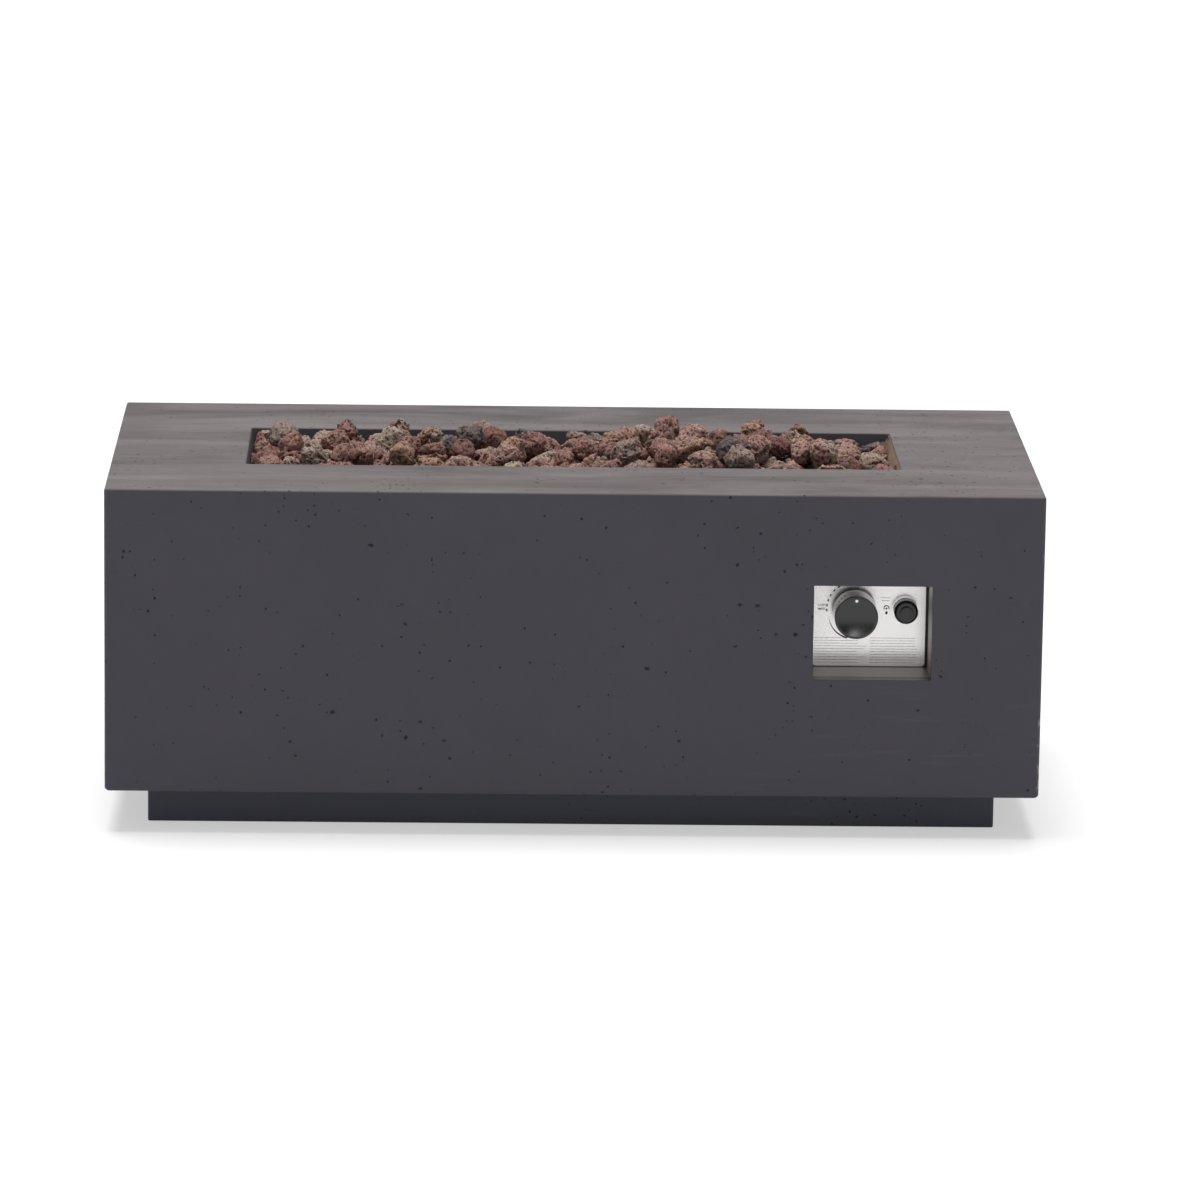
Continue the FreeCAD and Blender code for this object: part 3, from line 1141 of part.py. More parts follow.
def spring(name, radius, start, end, axis_x, label):
    """Coil spring along Y between two faces, drawn as a helix."""
    wire = number("coil_wire")
    low, high = number(start) + wire + 0.1, number(end) - wire - 0.1
    turns = max(2, round((high - low) / number("coil_pitch")))
    helix = Part.makeHelix((high - low) / turns, high - low, radius)
    ring_wire = Part.Wire(Part.makeCircle(wire, FreeCAD.Vector(radius, 0, 0),
                                          FreeCAD.Vector(0, 1, 0)))
    coil = Part.Wire(helix.Edges).makePipeShell([ring_wire], True, True)
    item = doc.addObject("Part::Feature", name)
    item.Shape = coil
    item.Placement = FreeCAD.Placement(FreeCAD.Vector(number(axis_x), low, number("control_z")),
                                       FreeCAD.Rotation(AXES["+Z"], AXES["+Y"]))
    keep(item, label)


def make_valve():
    """Push-and-turn gas valve with its safety poppet, behind the panel."""
    collar = "valve_front + thread_play"
    keep(fuse("spindle", [
        flatted_rod("spindle_bar", "spindle_radius", "spindle_flat",
                    "spindle_back - tip_length - (panel_front - knob_standoff - knob_wall"
                    " - hub_socket)",
                    axis_point("panel_front - knob_standoff - knob_wall - hub_socket"), "+Y"),
        rod("spindle_tip", "tip_radius", "tip_length * 2",
            axis_point("spindle_back - tip_length * 2"), "+Y"),
        rod("spindle_ring", "spindle_collar", "collar_thickness", axis_point(collar), "+Y")]),
        "valve_spindle")

    mounts = [(f"knob_x + {i} * mount_screw_spread", "panel_front", "control_z") for i in SIDES]
    fixings = [("knob_x", "panel_back", f"control_z + {i} * cap_screw_spread") for i in SIDES]
    plate = box("cap_block", ("cap_width", "cap_thickness", "cap_height"),
                ("knob_x", "panel_back + cap_thickness / 2"), "control_z - cap_height / 2")
    holes = [screw_hole(f"cap_mount_hole_{i}", "screw", "cap_thickness + panel_sheet", at, "+Y")
             for i, at in enumerate(mounts)]
    holes += [screw_hole(f"cap_hole_{i}", "screw", "cap_thickness", at, "+Y")
              for i, at in enumerate(fixings)]
    holes += [rod(f"cap_sink_{i}", "screw_head_radius + thread_play",
                  "screw_head_height + thread_play", at, "+Y") for i, at in enumerate(fixings)]
    holes.append(rod("cap_bore", "spindle_radius + thread_play", "cap_thickness",
                     axis_point("panel_back"), "+Y"))
    keep(cut("cap_drilled", plate, holes), "valve_cap")
    keep(group("cap_fixings", [
        screw(f"cap_screw_{i}", "screw", "cap_thickness - screw_head_height - thread_play + screw_bite",
              shifted(at, "+Y", "screw_head_height + thread_play"), "+Y")
        for i, at in enumerate(fixings)]), "valve_cap_screws")
    keep(group("mount_fixings", [screw(f"mount_screw_{i}", "screw",
                                       "panel_sheet + cap_thickness + cap_thickness", at, "+Y")
                                 for i, at in enumerate(mounts)]), "valve_mount_screws")

    front = axis_point("valve_front")
    solids = [rod("valve_round", "valve_radius", "valve_length", front, "+Y"),
              box("valve_flange", ("cap_width", "cap_thickness", "cap_height"),
                  ("knob_x", "valve_front + cap_thickness / 2"), "control_z - cap_height / 2"),
              rod("valve_inlet", "boss_radius", "boss_reach", axis_point("inlet_y"), "-Z"),
              rod("valve_outlet", "boss_radius", "boss_reach", axis_point("outlet_y"), "-X")]
    ways = [rod("plug_bore", "plug_radius + thread_play", "seat_front - valve_front", front, "+Y"),
            rod("seat_bore", "seat_radius", "seat_thickness * 2", axis_point("seat_front"), "+Y"),
            rod("chamber", "chamber_radius", "valve_back - seat_back", axis_point("seat_back"), "+Y"),
            rod("inlet_way", "gas_port_radius", "boss_reach", axis_point("inlet_y"), "-Z"),
            rod("outlet_way", "gas_port_radius", "boss_reach", axis_point("outlet_y"), "-X")]
    ways += [screw_hole(f"valve_mount_hole_{i}", "screw", "panel_sheet + 2 * cap_thickness", at, "+Y")
             for i, at in enumerate(mounts)]
    ways += [screw_hole(f"valve_cap_hole_{i}", "screw", "cap_thickness + screw_bite", at, "+Y")
             for i, at in enumerate(fixings)]
    keep(cut("valve_bored", fuse("valve_blank", solids), ways), "valve_body")

    keep(cut("plug", rod("plug_blank", "plug_radius", "plug_length", axis_point("plug_front"), "+Y"), [
        flatted_rod("plug_socket", "spindle_radius + thread_play", "spindle_flat + thread_play",
                    "plug_length", axis_point("plug_front"), "+Y"),
        rod("plug_port", "gas_port_radius", "plug_radius", axis_point("outlet_y"), "+Z")]),
        "valve_plug")
    keep(fuse("poppet", [
        rod("poppet_stem", "stem_radius", "armature_back - stem_front", axis_point("stem_front"), "+Y"),
        rod("poppet_disc", "poppet_radius", "poppet_thickness", axis_point("poppet_front"), "+Y"),
        rod("armature", "armature_radius", "armature_thickness",
            axis_point("armature_back"), "-Y")]), "safety_poppet")
    keep(fuse("magnet", [
        rod("magnet_core", "chamber_radius - thread_play", "valve_back - magnet_front",
            axis_point("magnet_front"), "+Y"),
        hexagon("magnet_hexagon", "magnet_reach", "magnet_nut", axis_point("valve_back"), "+Y"),
        rod("magnet_end", "tail_radius", "magnet_tail",
            axis_point("valve_back + magnet_nut"), "+Y")]), "magnet_unit")


def make_springs():
    """The three coil springs; each lies between the faces that it pushes apart."""
    spring("spindle_coil", number("spindle_radius") + 1.2, "spring_front", "plug_front",
           "knob_x", "spindle_spring")
    spring("poppet_coil", number("armature_radius") + 1.2, "poppet_rear", "magnet_front",
           "knob_x", "poppet_spring")
    spring("button_coil", number("battery_radius") / 2, "button_back", "battery_front",
           "igniter_x", "igniter_button_spring")


def make_igniter():
    """Battery igniter: barrel, ring nut, screw cap, button, battery and terminals."""
    mouth = axis_point("barrel_mouth", "igniter_x")
    behind = axis_point("panel_back", "igniter_x")
    rear = axis_point("panel_back + barrel_flange_thickness", "igniter_x")
    keep(cut("barrel", fuse("barrel_blank", [
        rod("barrel_thread", "barrel_radius", "barrel_front + panel_sheet", mouth, "+Y"),
        rod("barrel_disc", "barrel_flange", "barrel_flange_thickness", behind, "+Y"),
        rod("barrel_tail", "barrel_rear_radius", "barrel_rear", rear, "+Y")]), [
        rod("barrel_bore", "battery_radius + seat_gap", "battery_recess + battery_length + seat_gap",
            mouth, "+Y")]), "igniter_barrel")
    keep(ring("ring_nut", "ring_nut_radius", "barrel_radius + thread_play", "ring_nut_height",
              axis_point("panel_front", "igniter_x"), "-Y"), "igniter_locknut")

    body = new_body("igniter_cap_moulding")
    back, front = "-(ring_nut_height + seat_gap)", "-(ring_nut_height + seat_gap + igniter_cap_length)"
    mouth_y = "-(barrel_front + 2 * seat_gap)"
    shelf = "-(barrel_front + push_travel + 2 * seat_gap + button_flange_thickness)"
    turned(body, "igniter_cap_turned", [
        ("button_radius + button_play", front), ("igniter_cap_nose", front),
        ("igniter_cap_radius", f"{front} + igniter_nose_length"), ("igniter_cap_radius", back),
        ("barrel_radius + thread_play", back), ("barrel_radius + thread_play", mouth_y),
        ("button_flange + button_play", mouth_y), ("button_flange + button_play", shelf),
        ("button_radius + button_play", shelf)])
    sketch = sketch_on(body, "flute_circle", "XZ_Plane",
                       ("0", "igniter_cap_radius + flute_radius / 3", "ring_nut_height + seat_gap"))
    circle = sketch.addGeometry(Part.Circle(FreeCAD.Vector(), AXES["+Z"], 1))
    sketch.addConstraint(Sketcher.Constraint("Coincident", circle, 3, -1, 1))
    index = sketch.addConstraint(Sketcher.Constraint("Radius", circle, 1))
    sketch.renameConstraint(index, "flute")
    bind(sketch, "Constraints.flute", "flute_radius")
    flute = pocket(body, "flute", sketch, "igniter_cap_length - igniter_nose_length", backwards=True)
    ring_of_flutes = body.newObject("PartDesign::PolarPattern", "flutes")
    ring_of_flutes.Originals = [flute]
    axis = [item for item in body.Origin.OriginFeatures if item.Role == "Y_Axis"][0]
    ring_of_flutes.Axis = (axis, [""])
    ring_of_flutes.Angle = 360
    bind(ring_of_flutes, "Occurrences", "flute_count")
    body.Tip = ring_of_flutes
    place(body, axis_point("panel_front", "igniter_x"))
    keep(body, "igniter_cap")

    flange = axis_point("button_back", "igniter_x")
    top = axis_point("igniter_cap_front - button_proud", "igniter_x")
    stem = fuse("button_blank", [
        rod("button_disc", "button_flange", "button_flange_thickness", flange, "-Y"),
        rod("button_stem", "button_radius", "button_back - igniter_cap_front + button_proud",
            top, "+Y")])
    keep(cut("button", stem, [rod("button_dish", "button_radius * 0.72", "seat_gap", top, "+Y")]),
         "igniter_button")
    keep(rod("battery", "battery_radius", "battery_length",
             axis_point("battery_front", "igniter_x"), "+Y"), "igniter_battery")
    tabs = [box(f"tab_{i + 1}", ("tab_width", "tab_length", "tab_sheet"),
                ("igniter_x", "barrel_back + tab_length / 2"),
                f"control_z + {i} * tab_spread - tab_sheet / 2") for i in SIDES]
    keep(group("tabs", tabs), "igniter_terminals")


def make_gas_inlet():
    """Bulkhead fitting in the plinth's back wall, with its washer and nut."""
    face = ("knob_x", "plinth_back", "inlet_height")
    inside = ("knob_x", "well_back", "inlet_height")
    length = "plinth_wall + inlet_tail"
    keep(cut("inlet", fuse("inlet_blank", [
        hexagon("inlet_hexagon", "inlet_hex", "inlet_hex_height", face, "+Y"),
        rod("inlet_shank", "inlet_thread", length, face, "-Y"),
        rod("inlet_flare", "flare_radius", "flare_length", shifted(face, "+Y", "inlet_hex_height"),
            "+Y"),
        cone("inlet_nose", "flare_radius", "inlet_bore + 1", "inlet_bore",
             shifted(face, "+Y", "inlet_hex_height + flare_length"), "+Y")]), [
        rod("inlet_way_bore", "inlet_bore",
            f"{length} + inlet_hex_height + flare_length + inlet_bore",
            shifted(inside, "-Y", "inlet_tail"), "+Y")]), "gas_inlet_fitting")
    keep(ring("washer", "washer_radius", "inlet_thread + thread_play", "washer_thickness",
              inside, "-Y"), "inlet_washer")
    keep(nut("inlet_nut", "inlet_hex", "inlet_thread + thread_play", "inlet_hex_height",
             shifted(inside, "-Y", "washer_thickness"), "-Y"), "inlet_locknut")


def route_wire(points, bend):
    """Straight runs joined by tangent arcs of one bend radius."""
    edges = []
    start = points[0]
    for before, corner, after in zip(points, points[1:], points[2:]):
        back, ahead = (before - corner).normalize(), (after - corner).normalize()
        half = back.getAngle(ahead) / 2
        reach = bend / math.tan(half)
        middle = (back + ahead).normalize()
        first, last = corner + back * reach, corner + ahead * reach
        crown = corner + middle * (bend / math.sin(half) - bend)
        edges += [Part.LineSegment(start, first).toShape(), Part.Arc(first, crown, last).toShape()]
        start = last
    edges.append(Part.LineSegment(start, points[-1]).toShape())
    return Part.Wire(edges)


def swept(wire, radius):
    """Round bar along a route."""
    start = wire.OrderedEdges[0]
    circle = Part.Wire(Part.makeCircle(radius, start.valueAt(start.FirstParameter),
                                       start.tangentAt(start.FirstParameter)))
    return wire.makePipeShell([circle], True, False)


def point(x, y, z):
    """Vector from aliases or plain numbers."""
    return FreeCAD.Vector(*(number(v) if isinstance(v, str) else v for v in (x, y, z)))


def make_routes():
    """Gas tubes, their nuts, the thermocouple lead and the ignition wire."""
    reach, nut_length = number("boss_reach"), number("flare_nut_length")
    supply_start = point("knob_x", "inlet_y", "control_z") - AXES["+Z"] * reach
    supply_end = point("knob_x", "well_back", "inlet_height") - AXES["+Y"] * number("inlet_tail")
    low = number("pipe_low")
    supply = [supply_start,
              FreeCAD.Vector(supply_start.x, supply_start.y, low),
              FreeCAD.Vector(supply_start.x, supply_end.y - 3.2 * number("pipe_bend"), low),
              supply_end - AXES["+Y"] * 1.9 * number("pipe_bend"),
              supply_end]
    feed_start = point("knob_x", "outlet_y", "control_z") - AXES["+X"] * reach
    feed_end = point(0, 0, "elbow_axis") + AXES["+X"] * number("elbow_arm")
    feed = [feed_start,
            feed_start - AXES["+X"] * 1.9 * number("pipe_bend"),
            feed_end + AXES["+X"] * 2.3 * number("pipe_bend"),
            feed_end]
    for name, route, label in (("supply", supply, "supply_tube"),
                               ("feed", feed, "burner_feed_tube")):
        wire = route_wire(route, number("pipe_bend"))
        item = doc.addObject("Part::Feature", name)
        item.Shape = swept(wire, number("pipe_radius")).cut(swept(wire, number("pipe_bore")))
        item.Placement = FreeCAD.Placement()
        keep(item, label)
        print(f"{label}: centre line {wire.Length:.1f} mm, bends {number('pipe_bend'):.0f} mm")

    inner = "pipe_radius + thread_play"
    nuts = [nut("supply_nut_valve", "flare_nut_reach", inner, "flare_nut_length",
                ("knob_x", "inlet_y", "control_z - boss_reach"), "-Z"),
            nut("supply_nut_inlet", "flare_nut_reach", inner, "flare_nut_length",
                ("knob_x", "well_back - inlet_tail", "inlet_height"), "-Y"),
            nut("feed_nut_valve", "flare_nut_reach", inner, "flare_nut_length",
                ("knob_x - boss_reach", "outlet_y", "control_z"), "-X"),
            nut("feed_nut_elbow", "flare_nut_reach", inner, "flare_nut_length",
                ("elbow_arm", "0", "elbow_axis"), "+X")]
    keep(group("flare_nuts", nuts), "tube_nuts")

    magnet = point("knob_x", "magnet_back", "control_z")
    probe = point("probe_x", 0, "holder_under") - AXES["+Z"] * number("tail_drop")
    turn = 2.4 * number("lead_bend")
    lead = [magnet, magnet + AXES["+Y"] * turn,
            FreeCAD.Vector(probe.x + turn * 1.5, 0, probe.z - turn),
            probe - AXES["+Z"] * turn, probe]
    tabs = point("igniter_x", "barrel_back", "control_z") + AXES["+Y"] * number("tab_length")
    tabs.z += number("tab_spread")
    spark = point("electrode_x", 0, "holder_under") - AXES["+Z"] * number("tail_drop")
    wire_low = spark.z - 1.9 * turn
    wire = [tabs, tabs + AXES["+Y"] * turn,
            FreeCAD.Vector(tabs.x - turn, spark.y, wire_low),
            FreeCAD.Vector(spark.x, spark.y, wire_low), spark]
    for name, route, radius, label in (("lead", lead, "lead_radius", "thermocouple_lead"),
                                       ("spark_wire", wire, "wire_radius", "ignition_wire")):
        path = route_wire(route, number("lead_bend"))
        item = doc.addObject("Part::Feature", name)
        item.Shape = swept(path, number(radius))
        item.Placement = FreeCAD.Placement()
        keep(item, label)
        print(f"{label}: centre line {path.Length:.1f} mm, bends {number('lead_bend'):.0f} mm")


def make_rear_vent():
    """Slotted plate behind the air opening of the back wall."""
    body = new_body("grille_sheet_metal")
    plate = sketch_on(body, "grille_outline", "XZ_Plane",
                      ("0", "vent_rise", "-(room_depth / 2 - vent_sheet)"))
    rectangle(plate, "vent_length + 2 * vent_margin", "vent_height + 2 * vent_margin")
    pad(body, "grille_pad", plate, "vent_sheet", backwards=True)
    slot = sketch_on(body, "slot_outline", "XZ_Plane",
                     ("0", "vent_rise - slot_pitch * (slot_count - 1) / 2",
                      "-(room_depth / 2 - vent_sheet)"))
    rectangle(slot, "slot_length", "slot_height")
    slot_cut = pocket(body, "slot_pocket", slot, "vent_sheet")
    rows = body.newObject("PartDesign::LinearPattern", "slot_rows")
    rows.Originals = [slot_cut]
    axis = [item for item in body.Origin.OriginFeatures if item.Role == "Z_Axis"][0]
    rows.Direction = (axis, [""])
    bind(rows, "Length", "slot_pitch * (slot_count - 1)")
    bind(rows, "Occurrences", "slot_count")
    body.Tip = rows
    holes = [screw_hole(f"grille_hole_{i}", "screw", "vent_sheet", at, "+Y")
             for i, at in enumerate(vent_screw_spots())]
    keep(cut("grille_drilled", body, holes), "rear_vent_grille")
    keep(group("grille_fixings", [screw(f"grille_screw_{i}", "screw", "vent_sheet + screw_bite",
                                        at, "+Y") for i, at in enumerate(vent_screw_spots())]),
         "vent_screws")


make_body_shell()
make_plinth()
make_burner_pan()
make_burner()
make_ignition_head()
make_lava_bed()
make_lava_stones()
make_control_panel()
make_knob()
make_valve()
make_igniter()
make_springs()
make_gas_inlet()
make_routes()
make_rear_vent()
doc.recompute()

for item in doc.Objects:
    if "Invalid" in item.State or "Error" in item.State:
        raise RuntimeError(f"{item.Name} failed: {item.State}")
for item in subparts:
    if item.Shape.isNull() or not item.Shape.isValid() or not item.Shape.Solids:
        raise RuntimeError(f"{item.Label} has no valid solid")

os.makedirs("parts", exist_ok=True)
for item in subparts:
    item.Shape.exportStep(f"parts/{item.Label}.step")
print(f"{len(subparts)} sub-parts, {sum(len(item.Shape.Solids) for item in subparts)} solids")
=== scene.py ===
"""Looks of a gas fire pit table, built round its fixed CAD frame.

The cast body, the plinth, the control plate and every inner part keep their CAD meshes and get
procedural finishes. The loose lava stones are remade from their CAD solids with lumpy, porous
surfaces, chips and broken rock fill the gaps between them, and the plate gets its printed marks.
Lengths are in metres, +Z is up and the controls face -Y.
"""

import json
import logging
import math
import random
from dataclasses import dataclass
from enum import Enum
from typing import ClassVar

import bpy
import numpy as np
from mathutils import Matrix, Vector
from mathutils.bvhtree import BVHTree


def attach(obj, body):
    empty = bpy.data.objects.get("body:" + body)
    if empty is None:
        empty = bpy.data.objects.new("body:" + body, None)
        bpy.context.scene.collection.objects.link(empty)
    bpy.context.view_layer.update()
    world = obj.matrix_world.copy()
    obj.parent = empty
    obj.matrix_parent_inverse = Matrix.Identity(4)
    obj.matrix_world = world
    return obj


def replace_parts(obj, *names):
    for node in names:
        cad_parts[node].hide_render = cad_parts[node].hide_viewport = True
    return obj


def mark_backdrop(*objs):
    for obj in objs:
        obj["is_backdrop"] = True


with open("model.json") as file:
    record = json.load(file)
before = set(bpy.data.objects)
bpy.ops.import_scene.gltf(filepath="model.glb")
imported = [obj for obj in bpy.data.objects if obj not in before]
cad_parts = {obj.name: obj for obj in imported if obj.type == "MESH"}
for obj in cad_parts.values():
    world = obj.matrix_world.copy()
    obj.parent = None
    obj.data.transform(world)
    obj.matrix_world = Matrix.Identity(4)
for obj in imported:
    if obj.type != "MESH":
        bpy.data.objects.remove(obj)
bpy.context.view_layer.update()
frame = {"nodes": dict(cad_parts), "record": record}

LOG = logging.getLogger("fire_table")
MM = 0.001
UPRIGHT = (math.radians(90.0), 0.0, 0.0)  # turns a flat outline from the floor to the front
DOWN = Vector((0.0, 0.0, -1.0))
WHITE = (1.0, 1.0, 1.0)
Feed = bpy.types.NodeSocket | float | tuple[float, ...]
Colour = tuple[float, float, float]
Corner = tuple[float, float, float]


class Dividing(Enum):
    """Ways to divide the faces of a mesh."""

    FLAT = "SIMPLE"
    ROUND = "CATMULL_CLARK"


class Graph:
    """Adds shader nodes to a tree; most methods return the socket that carries the result."""

    def __init__(self, tree: bpy.types.NodeTree) -> None:
        """Keep the tree that the nodes go into."""
        self.tree = tree

    def feed(self, socket: bpy.types.NodeSocket, value: Feed) -> None:
        """Link a socket to another one, or set a constant on it.

        Args:
            socket: input that takes the value.
            value: output of another node, a number or a colour.
        """
        if isinstance(value, bpy.types.NodeSocket):
            self.tree.links.new(value, socket)
        elif isinstance(value, tuple) and socket.type == "RGBA" and len(value) == 3:
            socket.default_value = (*value, 1.0)
        else:
            socket.default_value = value

    def add(self, kind: str, feeds: dict[str, Feed] | None = None,
            **settings: object) -> bpy.types.Node:
        """Add one node.

        Args:
            kind: type of the node without its ShaderNode prefix.
            feeds: values of its inputs by name.
            settings: its own properties.

        Returns:
            The new node.
        """
        node = self.tree.nodes.new("ShaderNode" + kind)
        for name, value in settings.items():
            setattr(node, name, value)
        for name, value in (feeds or {}).items():
            self.feed(node.inputs[name], value)
        return node

    def math(self, operation: str, *terms: Feed, clamp: bool = False) -> bpy.types.NodeSocket:
        """Work out one operation on numbers.

        Args:
            operation: name of the operation, such as MULTIPLY.
            terms: its numbers, in order.
            clamp: whether the result is kept between 0 and 1.

        Returns:
            The result.
        """
        node = self.add("Math", operation=operation, use_clamp=clamp)
        for socket, value in zip(node.inputs, terms):
            self.feed(socket, value)
        return node.outputs[0]

    def remap(self, value: Feed, low: Feed, high: Feed, start: Feed = 0.0,
              end: Feed = 1.0) -> bpy.types.NodeSocket:
        """Turn a range of a value into another range, held at its ends.

        Args:
            value: number to convert.
            low: value that gives start.
            high: value that gives end.
            start: result at low.
            end: result at high.

        Returns:
            The converted number.
        """
        node = self.add("MapRange", {"Value": value, "From Min": low, "From Max": high,
                                     "To Min": start, "To Max": end})
        return node.outputs["Result"]

    def scaled(self, vector: Feed, factors: tuple[float, float, float]) -> bpy.types.NodeSocket:
        """Stretch coordinates by a factor on each axis.

        Args:
            vector: coordinates.
            factors: one factor for each axis.

        Returns:
            The stretched coordinates.
        """
        node = self.add("VectorMath", operation="MULTIPLY")
        self.feed(node.inputs[0], vector)
        self.feed(node.inputs[1], factors)
        return node.outputs[0]

    def parts(self, vector: Feed) -> tuple[bpy.types.NodeSocket, ...]:
        """Split coordinates or a colour into three numbers.

        Args:
            vector: coordinates or colour.

        Returns:
            The three numbers.
        """
        return tuple(self.add("SeparateXYZ", {"Vector": vector}).outputs)

    def noise(self, vector: Feed, scale: Feed, detail: float = 2.0, roughness: float = 0.5,
              warp: float = 0.0) -> bpy.types.NodeSocket:
        """Make soft random values over space.

        Args:
            vector: coordinates in metres.
            scale: lumps to the metre.
            detail: number of finer layers.
            roughness: strength of each finer layer.
            warp: how far the pattern is stirred.

        Returns:
            Values round 0.5.
        """
        node = self.add("TexNoise", {"Vector": vector, "Scale": scale, "Detail": detail,
                                     "Roughness": roughness, "Distortion": warp})
        return node.outputs[0]

    def cells(self, vector: Feed, scale: Feed, feature: str = "F1") -> bpy.types.Node:
        """Make random cells over space.

        Args:
            vector: coordinates in metres.
            scale: cells to the metre.
            feature: which distance the node gives.

        Returns:
            The node, with Distance and Color outputs.
        """
        return self.add("TexVoronoi", {"Vector": vector, "Scale": scale}, feature=feature)

    def mixed(self, factor: Feed, first: Feed, second: Feed,
              blend: str = "MIX") -> bpy.types.NodeSocket:
        """Mix two colours.

        Args:
            factor: share of the second colour.
            first: colour at 0.
            second: colour at 1.
            blend: how they are combined.

        Returns:
            The mixed colour.
        """
        node = self.add("Mix", data_type="RGBA", blend_type=blend)
        for index, value in ((0, factor), (6, first), (7, second)):
            self.feed(node.inputs[index], value)
        return node.outputs[2]

    def stops(self, value: Feed, colours: list[tuple[float, Colour]],
              held: bool = False) -> bpy.types.NodeSocket:
        """Look a number up on a scale of colours.

        Args:
            value: number between 0 and 1.
            colours: place and colour of each stop.
            held: whether each colour holds up to the next stop.

        Returns:
            The colour.
        """
        node = self.add("ValToRGB", {"Fac": value})
        ramp = node.color_ramp
        ramp.interpolation = "CONSTANT" if held else "LINEAR"
        while len(ramp.elements) < len(colours):
            ramp.elements.new(0.5)
        for element, (place, colour) in zip(ramp.elements, colours):
            element.position = place
            element.color = (*colour, 1.0)
        return node.outputs[0]

    def bump(self, height: Feed, depth: float, normal: Feed | None = None
             ) -> bpy.types.NodeSocket:
        """Tilt the surface by a height.

        Args:
            height: height between 0 and 1.
            depth: what a height of 1 is in metres.
            normal: normal of a bump under this one.

        Returns:
            The tilted normal.
        """
        node = self.add("Bump", {"Height": height, "Distance": depth, "Strength": 1.0})
        if normal is not None:
            self.feed(node.inputs["Normal"], normal)
        return node.outputs[0]

    def mean(self, first: Feed, second: Feed) -> bpy.types.NodeSocket:
        """Take the mean of two numbers."""
        return self.math("ADD", self.math("MULTIPLY", first, 0.5),
                         self.math("MULTIPLY", second, 0.5))

    def open_rays(self) -> bpy.types.NodeSocket:
        """Give 1 to rays from the camera and to rays that gloss and glass send on."""
        rays = self.add("LightPath").outputs
        return self.math("MAXIMUM", self.math("MAXIMUM", rays["Is Camera Ray"],
                                              rays["Is Glossy Ray"]),
                         rays["Is Transmission Ray"])

    def show(self, shader: bpy.types.Node, kind: str = "OutputMaterial") -> None:
        """Put a shader out as the surface of the material or the world."""
        self.tree.links.new(shader.outputs[0], self.add(kind).inputs[0])


def blank_material(name: str) -> tuple[bpy.types.Material, Graph]:
    """Make a material without nodes.

    Args:
        name: name of the material.

    Returns:
        The material and its graph.
    """
    made = bpy.data.materials.new(name)
    made.use_nodes = True
    made.node_tree.nodes.clear()
    return made, Graph(made.node_tree)


class Effect:
    """A shader node group that several finishes share, built once."""

    title: ClassVar[str] = ""
    takes: ClassVar[dict[str, float]] = {}
    gives: ClassVar[tuple[str, ...]] = ()

    def wire(self, graph: Graph, given: bpy.types.NodeOutputs) -> dict[str, Feed]:
        """Build the nodes inside the group.

        Args:
            graph: the group's tree.
            given: its inputs, Vector first.

        Returns:
            The socket for each output.
        """
        raise NotImplementedError

    def group(self) -> bpy.types.NodeTree:
        """Give the group, and build it at its first use.

        Returns:
            The group's node tree.
        """
        tree = bpy.data.node_groups.get(self.title)
        if tree is not None:
            return tree
        tree = bpy.data.node_groups.new(self.title, "ShaderNodeTree")
        tree.interface.new_socket("Vector", in_out="INPUT", socket_type="NodeSocketVector")
        for name, value in self.takes.items():
            made = tree.interface.new_socket(name, in_out="INPUT", socket_type="NodeSocketFloat")
            made.default_value = value
        for name in self.gives:
            tree.interface.new_socket(name, in_out="OUTPUT", socket_type="NodeSocketFloat")
        start = tree.nodes.new("NodeGroupInput")
        end = tree.nodes.new("NodeGroupOutput")
        for name, socket in self.wire(Graph(tree), start.outputs).items():
            tree.links.new(socket, end.inputs[name])
        return tree

    def place(self, graph: Graph, vector: Feed, **values: Feed) -> bpy.types.NodeOutputs:
        """Put the group into a material.

        Args:
            graph: the material's tree.
            vector: coordinates in metres.
            values: its inputs, with _ for a blank in their names.

        Returns:
            The group's outputs.
        """
        node = graph.tree.nodes.new("ShaderNodeGroup")
        node.node_tree = self.group()
        graph.feed(node.inputs["Vector"], vector)
        for name, value in values.items():
            graph.feed(node.inputs[name.replace("_", " ")], value)
        return node.outputs


